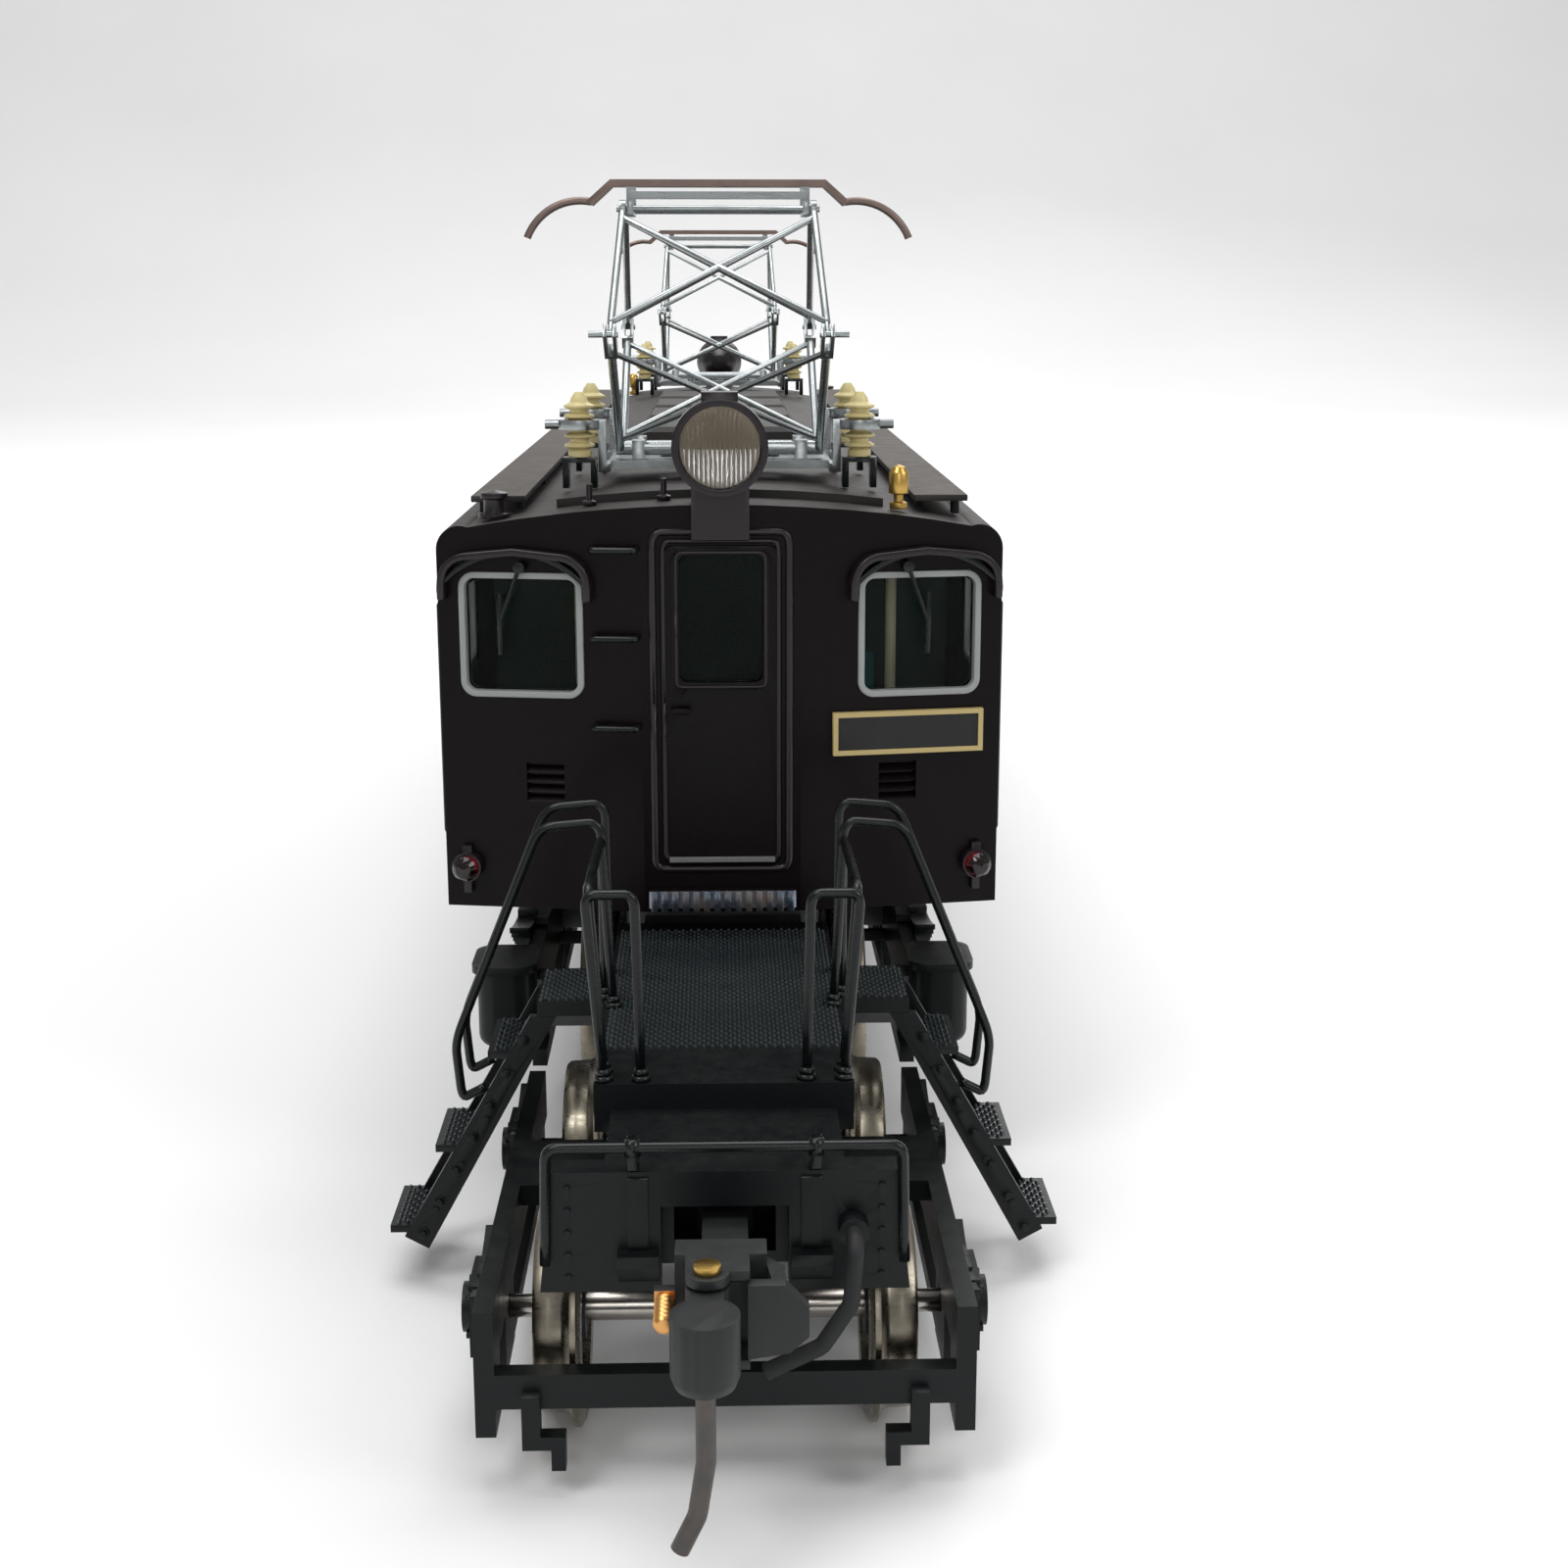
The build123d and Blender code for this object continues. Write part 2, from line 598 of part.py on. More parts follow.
def make_roof_fittings():
    """The arched roof hatch, its vents, whistles, hooks and round vents."""
    reach = BODY_HALF - HATCH_INSET
    half = HATCH_WIDTH / 2
    edge = roof_height(half) + 0.03
    top = edge + HATCH_HEIGHT
    outline = [
        Line((-half, edge), (-half, top)),
        ThreePointArc((-half, top), (0, HATCH_TOP), (half, top)),
        Line((half, top), (half, edge)),
        ThreePointArc((half, edge), (0, ROOF_CENTRE + 0.03), (-half, edge)),
    ]
    hatch = extrude(Plane.XZ * make_face(Curve(outline)), amount=reach, both=True)
    for index in range(4):
        y = (index - 1.5) * 17
        vent = block((-6.5, 6.5), (y - 6.5, y + 6.5), (HATCH_TOP - 0.4, HATCH_TOP + 1.3))
        vent = chamfer(vent.faces().sort_by(Axis.Z)[-1].edges(), 0.4)
        hatch += vent
    whistle_x, whistle_y = 11.1, reach - 1.4
    base = roof_height(whistle_x) + 0.03
    whistle = turned_up(
        [
            (0, 0), (0.55, 0), (0.55, 0.4), (0.3, 0.5), (0.3, 0.9), (0.62, 1.0), (0.62, 2.2),
            (0.4, 2.6), (0, 2.75),
        ]
    )
    whistle = Pos(whistle_x, -whistle_y - 2.9, base + 0.1) * whistle
    loose = [whistle]
    for x in (-8.1, -3.5):
        y = -reach - 1.5
        loose.append(
            turned_up(
                [(0, 0), (0.45, 0), (0.45, 0.25), (0.2, 0.35), (0.2, 1.3), (0, 1.4)]
            ).moved(Location((x, y, roof_height(x) + 0.05)))
        )
    vent = turned_up(
        [(0, 0), (1.0, 0), (1.0, 0.25), (0.65, 0.3), (0.65, 1.1), (0.85, 1.2), (0.85, 1.5), (0, 1.7)]
    )
    loose.append(Pos(-14.0, -reach - 1.4, roof_height(14.0) + 0.15) * vent)
    return [hatch] + both_ends(loose)


# ---- pantograph ----------------------------------------
def make_insulators():
    """Ribbed insulators under both pantographs, on small upturned brackets."""
    sheds = 5
    outline = [(0, 0), (0.75, 0), (0.75, 0.4)]
    pitch = (INSULATOR_HEIGHT - 1.0) / sheds
    for index in range(sheds):
        low = 0.5 + index * pitch
        outline += [
            (0.6, low), (0.98, low + 0.25 * pitch), (0.98, low + 0.45 * pitch),
            (0.6, low + 0.75 * pitch),
        ]
    outline += [(0.5, INSULATOR_HEIGHT - 0.35), (0.25, INSULATOR_HEIGHT), (0, INSULATOR_HEIGHT)]
    insulator = turned_up(outline)
    shapes = []
    for x in (-INSULATOR_X, INSULATOR_X):
        for y in (-INSULATOR_Y, INSULATOR_Y):
            place = Pos(x, y - PANTOGRAPH_Y, 0)
            shapes.append(place * Pos(0, 0, INSULATOR_BASE) * insulator)
            low = HATCH_TOP - 0.27
            bracket = block((-1.1, 1.1), (-0.7, 0.7), (low, INSULATOR_BASE - 0.02))
            bracket -= block((-0.7, 0.7), (-1, 1), (low - 1, INSULATOR_BASE - 0.35))
            shapes.append(place * bracket)
    return both_ends(shapes)


def make_pantograph_bases():
    """The fixed base: plate, shaft bearings and clamp arms to the insulators."""
    low, high = BASE_PIVOT_HEIGHT - 1.1, BASE_PIVOT_HEIGHT - 0.55
    plate = block((-7.3, 7.3), (-4.2, 4.2), (low, high)) - block(
        (-4.0, 4.0), (-1.2, 1.2), (low - 1, high + 1),
    )
    for x in (-5.4, 5.4):
        for y in (-PIVOT_SPREAD, PIVOT_SPREAD):
            bearing = block((x - 0.4, x + 0.4), (y - 0.7, y + 0.7), (high - 0.1, BASE_PIVOT_HEIGHT + 0.65))
            plate += bearing - cross_rod((x - 1, x + 1), y, BASE_PIVOT_HEIGHT, SHAFT_RADIUS + RUNNING_GAP)
    clamp_z = INSULATOR_BASE + INSULATOR_HEIGHT / 2
    for x in (-1, 1):
        for y in (-1, 1):
            rail_x, arm_y = x * 7.55, y * INSULATOR_Y
            plate += block(
                sorted_span(x * 7.1, rail_x + x * 0.25), sorted_span(y * 3.6, arm_y + y * 0.4),
                (low, high),
            )
            plate += block(
                sorted_span(x * 7.3, rail_x + x * 0.25),
                sorted_span(arm_y - y * 0.4, arm_y + y * 0.4), (low, clamp_z + 0.3),
            )
            ring = Pos(x * INSULATOR_X, arm_y, clamp_z) * (Cylinder(1.35, 0.6) - Cylinder(1.03, 1.0))
            bolt = rod(
                (x * (INSULATOR_X + 1.3), arm_y, clamp_z),
                (x * (INSULATOR_X + 2.2), arm_y, clamp_z), 0.3,
            )
            plate += [ring, bolt]
    return both_ends([Pos(0, -PANTOGRAPH_Y, 0) * plate])


def sorted_span(first, second):
    """Two values as a (low, high) span."""
    return (min(first, second), max(first, second))


def arm_point(distance, foot_y, lean):
    """A (y, z) point up a lower arm from its foot. lean is -1 or 1."""
    angle = math.radians(ARM_ANGLE)
    return (foot_y + lean * distance * math.cos(angle), BASE_PIVOT_HEIGHT + distance * math.sin(angle))


def make_lower_frame(lean):
    """A lower frame: foot shaft, two tubes, X braces, and forks at the knees."""
    foot_y = lean * PIVOT_SPREAD
    angle = math.radians(ARM_ANGLE)
    frame = cross_rod(
        (-ARM_HALF_WIDTH - 0.3, ARM_HALF_WIDTH + 0.3), foot_y, BASE_PIVOT_HEIGHT, SHAFT_RADIUS,
    )
    end_y, end_z = arm_point(ARM_LENGTH - FORK_BACK, foot_y, lean)
    knee_y, knee_z = arm_point(ARM_LENGTH, foot_y, lean)
    slope = math.degrees(angle) * lean
    for side in (-1, 1):
        x = side * ARM_HALF_WIDTH
        frame += rod((x, foot_y, BASE_PIVOT_HEIGHT), (x, end_y, end_z), TUBE_RADIUS)
        brace_from = arm_point(1.2, foot_y, lean)
        brace_to = arm_point(ARM_LENGTH - FORK_BACK - 0.1, foot_y, lean)
        frame += rod((x, *brace_from), (-x, *brace_to), BRACE_RADIUS)
        fork = block((-EAR_SPREAD, EAR_SPREAD), (-0.45, FORK_BACK + 0.15), (-0.45, 0.45))
        fork -= block(
            (EAR_THICKNESS - EAR_SPREAD, EAR_SPREAD - EAR_THICKNESS), (-1, FORK_BACK - 0.15),
            (-1, 1),
        )
        fork -= cross_rod((-1, 1), 0, 0, KNEE_PIN_RADIUS + RUNNING_GAP)
        turn = 180 if lean > 0 else 0
        fork = Pos(x, knee_y, knee_z) * Rot(slope, 0, 0) * Rot(0, 0, turn) * fork
        frame += fork
    return frame


def make_upper_frame(lean):
    """An upper frame: knee eyes with pins, two tubes, X braces and top eyes."""
    foot_y = lean * PIVOT_SPREAD
    knee_y, knee_z = arm_point(ARM_LENGTH, foot_y, lean)
    top_y, top_z = foot_y, TOP_PIVOT_Z
    frame = Part()
    for side in (-1, 1):
        x = side * ARM_HALF_WIDTH
        top_x = side * (ARM_HALF_WIDTH - 0.4)
        eye_x = side * (ARM_HALF_WIDTH - 0.4)
        run = Vector(top_x - x, top_y - knee_y, top_z - knee_z).normalized()
        neck = Vector(x, knee_y, knee_z) + run * NECK_LENGTH
        frame += rod((x, knee_y, knee_z), (top_x, top_y, top_z), NECK_RADIUS)
        frame += rod(tuple(neck), (top_x, top_y, top_z), UPPER_TUBE_RADIUS)
        pin_out = x + side * (1.3 if lean < 0 else 0.5)
        frame += cross_rod(sorted_span(x - side * 0.5, pin_out), knee_y, knee_z, KNEE_PIN_RADIUS)
        ring = cross_rod((eye_x - 0.2, eye_x + 0.2), top_y, top_z, 0.55)
        frame += ring
        run = Vector(0, top_y - knee_y, top_z - knee_z).normalized()
        low = (knee_y + run.Y * 1.3, knee_z + run.Z * 1.3)
        high = (top_y - run.Y * 1.0, top_z - run.Z * 1.0)
        frame += rod((x * 0.99, *low), (-top_x, *high), BRACE_RADIUS)
    frame -= cross_rod((-9, 9), top_y, top_z, SHAFT_RADIUS * 0.6 + RUNNING_GAP)
    return frame


def make_pantograph_head():
    """The head: two pivot bars, end brackets, two slide bars, contact strip and horns."""
    reach = ARM_HALF_WIDTH - 0.75
    top = TOP_PIVOT_Z + 1.9
    bars = Part()
    for y in (-PIVOT_SPREAD, PIVOT_SPREAD):
        bars += cross_rod((-ARM_HALF_WIDTH, ARM_HALF_WIDTH), y, TOP_PIVOT_Z, SHAFT_RADIUS * 0.6)
    for side in (-1, 1):
        web_x = side * (reach - 0.15)
        bars += block(
            (web_x - 0.2, web_x + 0.2), (-PIVOT_SPREAD - 0.45, PIVOT_SPREAD + 0.45),
            (TOP_PIVOT_Z - 0.4, TOP_PIVOT_Z + 0.4),
        )
        bars += block((web_x - 0.3, web_x + 0.3), (-0.7, 0.7), (TOP_PIVOT_Z + 0.3, top - 0.4))
    bars += block((-reach, reach), (-0.75, -0.25), (TOP_PIVOT_Z + 0.7, TOP_PIVOT_Z + 1.15))
    bars += block((-reach, reach), (0.25, 0.75), (TOP_PIVOT_Z + 0.7, TOP_PIVOT_Z + 1.15))
    drop = 1.35
    outline = [
        (-HEAD_FLAT_HALF, top), (HEAD_FLAT_HALF, top), (HEAD_END_HALF, top - drop), (
            HEAD_END_HALF - 0.35, top - drop - 0.3,
        ),
        (HEAD_FLAT_HALF - 0.15, top - 0.45), (-HEAD_FLAT_HALF + 0.15, top - 0.45), (
            -HEAD_END_HALF + 0.35, top - drop - 0.3,
        ),
        (-HEAD_END_HALF, top - drop),
    ]
    bars += end_profile(outline, (-0.9, 0.9))
    start_z = top - drop - 0.05
    for side in (-1, 1):
        path = ThreePointArc(
            (side * (HEAD_END_HALF - 0.3), 0, start_z),
            (side * (HEAD_END_HALF + 2.4), 0, start_z - 0.45),
            (side * HORN_HALF, 0, start_z - 2.3),
        )
        bars += sweep(Plane(origin=path @ 0, z_dir=path % 0) * Circle(0.25), path=path)
    return bars


# ---- floor, ballast, interior ----------------------------------------
def make_underframe():
    """The floor plate inside the casing, with its kingpin holes and clip lugs."""
    gap = BODY_WALL + FLOOR_GAP
    plate = body_block(gap, BODY_BOTTOM + 0.1, 0) & block(
        (-40, 40), (-BODY_LENGTH, BODY_LENGTH), (0, FLOOR_TOP),
    )
    for y in (-TRUCK_Y, TRUCK_Y):
        plate -= post(0, y, (0, FLOOR_TOP + 1), KINGPIN_RADIUS + RUNNING_GAP)
    for y in (-TRUCK_Y / 2, TRUCK_Y / 2):
        for x in (-1, 1):
            wall = x * (SIDE_X - gap)
            plate += block(
                sorted_span(wall, wall - x * 1.2), (y - 3, y + 3), (FLOOR_TOP - 0.2, FLOOR_TOP + 3),
            )
    return [plate]


def make_ballast():
    """Cast weights over each truck, relieved around the kingpins, and a middle weight."""
    half = SIDE_X - BODY_WALL - 4.3
    shapes = []
    for y in (-TRUCK_Y, TRUCK_Y):
        weight = block((-half, half), (y - 16, y + 16), (FLOOR_TOP, FLOOR_TOP + 7.5))
        weight -= post(0, y, (FLOOR_TOP - 1, FLOOR_TOP + 4.5), 6.5)
        weight -= post(0, y, (FLOOR_TOP, FLOOR_TOP + 9), 2.2)
        shapes.append(weight)
    shapes.append(block((-half, half), (-TRUCK_Y + 19, TRUCK_Y - 19), (FLOOR_TOP, FLOOR_TOP + 7.5)))
    return shapes


def make_circuit_board():
    """The lighting and pickup board on the weights, with its parts."""
    low = FLOOR_TOP + 7.5
    board = block((-9, 9), (-TRUCK_Y - 10, TRUCK_Y + 10), (low, low + 0.8))
    for index in range(6):
        y = -30 + index * 12
        board += block((-4, -1), (y, y + 2.6), (low + 0.7, low + 1.9))
        board += block((3, 4.2), (y + 4, y + 6), (low + 0.7, low + 1.6))
    board += post(0, 0, (low + 0.7, low + 4.2), 2.2)
    return [board]


def make_cab_interiors():
    """A driver's stand, console, seat, pole and bulkhead at each end."""
    front = -(BODY_HALF - BODY_WALL - 3.6)
    back = front + 10.5
    half = SIDE_X - BODY_WALL - 1.0
    cab = block((-half, half), (front, back), (FLOOR_TOP, FLOOR_TOP + 0.8))
    cab += block((-half, half), (back - 0.8, back), (FLOOR_TOP, 40.5))
    cab += block((4.5, 13.0), (front, front + 2.4), (FLOOR_TOP, 30.5))
    cab += block((-13.0, -5.5), (front + 0.5, front + 2.6), (FLOOR_TOP, 29.5))
    cab += block((6.3, 10.3), (front + 5.2, front + 8.4), (FLOOR_TOP, 26.6))
    cab += block((6.3, 10.3), (front + 7.8, front + 8.8), (FLOOR_TOP, 33.5))
    cab += post(10.9, front + 1.6, (30.0, 40.5), 0.35)
    cab += post(-9.0, front + 1.6, (29.0, 40.5), 0.35)
    return both_ends([cab])


# ---- wheels and drive ----------------------------------------
def wheel_outline(tread, width, hub):
    """Half section of a flanged wheel: (x from the back face, radius)."""
    rim = tread - 1.25
    return [
        (0, GEAR_BORE), (0, hub), (0.7, hub), (0.7, rim), (0, rim), (0, tread + FLANGE_DEPTH - 0.35),
        (
            0.2, tread + FLANGE_DEPTH,
        ), (0.5, tread + FLANGE_DEPTH), (0.75, tread + 0.15), (1.0, tread), (width - 0.2, tread - 0.08),
        (width, tread - 0.25), (width, rim), (width - 0.7, rim), (width - 0.7, hub), (width + 0.15, hub), (
            width + 0.15, GEAR_BORE,
        ),
    ]


def make_drive_wheel():
    """A spoked driving wheel on the right end of its axle, its back face at the gauge face."""
    wheel = turned(wheel_outline(DRIVER_RADIUS, DRIVER_WHEEL_WIDTH, 2.3))
    inner, outer = 2.7, DRIVER_RADIUS - 1.6
    half_angle = 180 / SPOKE_COUNT
    window = []
    for index in range(SPOKE_COUNT):
        middle = math.radians(index * 2 * half_angle)
        corners = []
        for radius, spread in ((inner, 0.42), (outer, 0.74)):
            for sign in ((-1, 1) if radius == inner else (1, -1)):
                angle = middle + sign * spread * math.radians(half_angle)
                corners.append((radius * math.cos(angle), radius * math.sin(angle)))
        window.append(side_profile(corners, (0, DRIVER_WHEEL_WIDTH)))
    wheel -= window
    return Pos(WHEEL_INNER, 0, 0) * wheel


def make_worm_wheel():
    """The worm wheel: straight teeth on a flat-sided blank."""
    root = GEAR_TIP_RADIUS - 0.85
    points = []
    for index in range(GEAR_TEETH):
        middle = 2 * math.pi * index / GEAR_TEETH
        pitch = 2 * math.pi / GEAR_TEETH
        for radius, share in ((root, -0.3), (GEAR_TIP_RADIUS, -0.13), (GEAR_TIP_RADIUS, 0.13), (root, 0.3)):
            angle = middle + share * pitch
            points.append((radius * math.cos(angle), radius * math.sin(angle)))
    gear = side_profile(points, (-GEAR_WIDTH / 2, GEAR_WIDTH / 2))
    return gear - cross_rod((-GEAR_WIDTH, GEAR_WIDTH), 0, 0, GEAR_BORE)


def make_driver(y):
    """One driven wheelset: axle, two wheels and the worm wheel."""
    reach = WHEEL_INNER + DRIVER_WHEEL_WIDTH + 0.3
    shapes = [cross_rod((-reach, reach), 0, 0, DRIVER_AXLE_RADIUS)]
    shapes += both_sides(make_drive_wheel())
    shapes.append(make_worm_wheel())
    return [Pos(0, y, DRIVER_Z) * shape for shape in shapes]


def make_guide_wheelset(y):
    """One guide wheelset: stepped axle and two plain wheels."""
    reach = WHEEL_INNER + GUIDE_WHEEL_WIDTH + 0.2
    journal = GUIDE_FRAME_INNER + GUIDE_FRAME_THICKNESS - 0.15
    axle = cross_rod((-reach, reach), 0, 0, GUIDE_AXLE_RADIUS) + cross_rod(
        (-journal, journal), 0, 0, GUIDE_JOURNAL_RADIUS,
    )
    bore = GUIDE_AXLE_RADIUS + 0.02
    outline = wheel_outline(GUIDE_RADIUS, GUIDE_WHEEL_WIDTH, 1.7)
    outline = [(x, bore if radius == GEAR_BORE else radius) for x, radius in outline]
    shapes = [axle] + both_sides(Pos(WHEEL_INNER, 0, 0) * turned(outline))
    return [Pos(0, y, GUIDE_Z) * shape for shape in shapes]


def make_drive_shaft():
    """The long worm shaft: three worms and the motor's armature on one spindle."""
    reach = GEARCASE_HALF - 0.4
    root = WORM_TIP_RADIUS - 0.6
    shapes = [rod((0, -reach, SHAFT_Z), (0, reach, SHAFT_Z), SHAFT_Z_RADIUS)]
    turns = 5
    for y in (-DRIVER_SPACING, 0, DRIVER_SPACING):
        outline = [(0, SHAFT_Z_RADIUS + 0.02), (0, root)]
        for index in range(turns):
            start = 0.3 + index * (WORM_LENGTH - 0.6) / turns
            pitch = (WORM_LENGTH - 0.6) / turns
            outline += [(start + 0.1 * pitch, root), (start + 0.35 * pitch, WORM_TIP_RADIUS),
                        (start + 0.55 * pitch, WORM_TIP_RADIUS), (start + 0.8 * pitch, root)]
        outline += [(WORM_LENGTH, root), (WORM_LENGTH, SHAFT_Z_RADIUS + 0.02)]
        shapes.append(Pos(0, y - WORM_LENGTH / 2, SHAFT_Z) * Rot(0, 0, 90) * turned(outline))
    core = tube((0, MOTOR_NEAR + 2.2, SHAFT_Z), (0, MOTOR_FAR - 2.2, SHAFT_Z), 3.1, SHAFT_Z_RADIUS + 0.02)
    for index in range(5):
        angle = 72 * index
        core -= Pos(0, 0, SHAFT_Z) * Rot(0, angle, 0) * block(
            (-0.35, 0.35), (MOTOR_NEAR, MOTOR_FAR), (2.1, 4),
        )
    shapes.append(core)
    return shapes


def make_motor_can():
    """The motor's can with flat sides, a round bore, and a bush at each end."""
    can = block(
        (-MOTOR_HALF_WIDTH, MOTOR_HALF_WIDTH), (MOTOR_NEAR, MOTOR_FAR),
        (SHAFT_Z - MOTOR_HALF_HEIGHT, SHAFT_Z + MOTOR_HALF_HEIGHT),
    )
    can -= rod((0, MOTOR_NEAR + 0.8, SHAFT_Z), (0, MOTOR_FAR - 0.8, SHAFT_Z), 3.5)
    can += rod((0, MOTOR_NEAR - 0.6, SHAFT_Z), (0, MOTOR_NEAR + 0.8, SHAFT_Z), 1.8)
    can += rod((0, MOTOR_FAR - 0.8, SHAFT_Z), (0, MOTOR_FAR + 0.6, SHAFT_Z), 1.8)
    can -= rod((0, MOTOR_NEAR - 2, SHAFT_Z), (0, MOTOR_FAR + 2, SHAFT_Z), SHAFT_Z_RADIUS + RUNNING_GAP)
    return [can]


def make_truck_frame():
    """The gear block: two side plates, end walls, shaft bearings, bolster, nose and cross arms."""
    low, high = 4.7, SHAFT_Z + WORM_TIP_RADIUS + 0.5
    plate = block((PLATE_INNER, PLATE_OUTER), (-GEARCASE_HALF, GEARCASE_HALF), (low, high))
    for y in (-DRIVER_SPACING, 0, DRIVER_SPACING):
        plate -= cross_rod((0, 9), y, DRIVER_Z, DRIVER_AXLE_RADIUS + RUNNING_GAP)
    frame = Part() + both_sides(plate)
    for y in (-GEARCASE_HALF, GEARCASE_HALF - 1.4):
        frame += block((-PLATE_OUTER, PLATE_OUTER), (y, y + 1.4), (low, high))
    bearing_y = -DRIVER_SPACING / 2
    frame += block((-PLATE_OUTER, PLATE_OUTER), (bearing_y - 0.7, bearing_y + 0.7), (SHAFT_Z - 2, high))
    bolster_top = BODY_BOTTOM + 0.1 - RUNNING_GAP
    frame += block((-PLATE_OUTER, PLATE_OUTER), (-5, 4.4), (high - 0.02, high + 1.3))
    frame += post(0, 0, (high + 1.2, bolster_top), 4.0)
    frame += post(0, 0, (high + 1.2, FLOOR_TOP + 0.15), KINGPIN_RADIUS)
    nose_front = DECK_FRONT + 1.5
    frame += block((-5.2, 5.2), (nose_front, -GEARCASE_HALF + 0.1), (12.7, DECK_UNDER))
    for y in (-DRIVER_SPACING / 2, DRIVER_SPACING / 2, -END_ARM_Y, END_ARM_Y):
        for side in (-1, 1):
            start = side * (PLATE_OUTER - 0.2)
            frame += block(
                sorted_span(start, side * SIDE_FRAME_INNER),
                (y - CROSS_ARM_HALF, y + CROSS_ARM_HALF), CROSS_ARM_SPAN,
            )
    for side in (-1, 1):
        reach = sorted_span(side * (GEARCASE_HALF - 0.1), side * (END_ARM_Y + CROSS_ARM_HALF))
        frame += block((-PLATE_OUTER, PLATE_OUTER), reach, CROSS_ARM_SPAN)
    frame -= rod(
        (0, -GEARCASE_HALF + 0.2, SHAFT_Z), (0, GEARCASE_HALF - 0.2, SHAFT_Z),
        SHAFT_Z_RADIUS + RUNNING_GAP,
    )
    return [frame]


def make_keeper_plate():
    """The cover under the gear block, with its screws."""
    plate = block((-PLATE_OUTER, PLATE_OUTER), (-GEARCASE_HALF, GEARCASE_HALF), (3.6, 4.68))
    for y in (-DRIVER_SPACING / 2, DRIVER_SPACING / 2):
        plate += post(0, y, (3.2, 3.7), 1.1) - block((-2, 2), (y - 0.2, y + 0.2), (3, 3.45))
    return [plate]


def make_pivot_hardware():
    """The screw and washer above the floor, and the guide truck's pin, washer and spring."""
    top = FLOOR_TOP + 0.2
    washer = Pos(0, 0, top + 0.3) * (Cylinder(4.5, 0.6))
    screw = post(0, 0, (top + 0.6, top + 1.9), 1.9) - block((-3, 3), (-0.25, 0.25), (top + 1.3, top + 3))
    pin_y = -GUIDE_OFFSET
    pin = post(0, pin_y, (GUIDE_TRANSOM_LOW - 0.15, 12.68), 1.2) + post(
        0, pin_y, (GUIDE_TRANSOM_LOW - 1.0, GUIDE_TRANSOM_LOW - 0.15), 2.1,
    )
    turns = 5
    gap_low, gap_high = GUIDE_TRANSOM_LOW + GUIDE_TRANSOM_THICKNESS + 0.15, 12.6
    pitch = (gap_high - gap_low) / turns
    outline = [(1.25, 0)]
    for index in range(turns):
        outline += [(1.75, index * pitch), (2.0, (index + 0.5) * pitch), (1.75, (index + 1) * pitch - 0.02)]
    outline += [(1.25, turns * pitch - 0.02)]
    spring = Pos(0, pin_y, gap_low) * turned_up(outline)
    return [washer + screw, pin, spring]


# ---- side frames and guide frame ----------------------------------------
def leaf_spring(y, z, length, leaves, x_span):
    """A stack of spring leaves, shorter towards the bottom, with its buckle."""
    stack = Part()
    for index in range(leaves):
        half = length / 2 * (1 - 0.16 * index)
        low = z - index * 0.36
        sag = 0.9 * (half / (length / 2)) ** 2
        top = [(y - half, low + sag), (y, low), (y + half, low + sag)]
        arc = ThreePointArc(*[(0, *point) for point in top])
        under = ThreePointArc(*[(0, point[0], point[1] - 0.37) for point in top])
        face = make_face(Curve([arc, under, Line(arc @ 0, under @ 0), Line(arc @ 1, under @ 1)]))
        stack += Pos(x_span[0], 0, 0) * extrude(face, amount=x_span[1] - x_span[0], dir=(1, 0, 0))
    stack += block(x_span, (y - 0.6, y + 0.6), (z - leaves * 0.36 - 0.3, z + 0.4))
    return stack


def journal_box(y, z, size, x_inner, depth):
    """A journal box with a round cover and its bolts."""
    half = size / 2
    box = block((x_inner, x_inner + depth), (y - half, y + half), (z - half * 1.1, z + half * 1.1))
    cover = cross_rod((x_inner + depth - 0.1, x_inner + depth + 0.45), y, z, half * 0.72)
    box += cover
    for angle in range(4):
        turn = math.radians(45 + 90 * angle)
        bolt_y, bolt_z = y + half * 0.8 * math.cos(turn), z + half * 0.85 * math.sin(turn)
        box += cross_rod((x_inner + depth - 0.1, x_inner + depth + 0.25), bolt_y, bolt_z, 0.2)
    return box


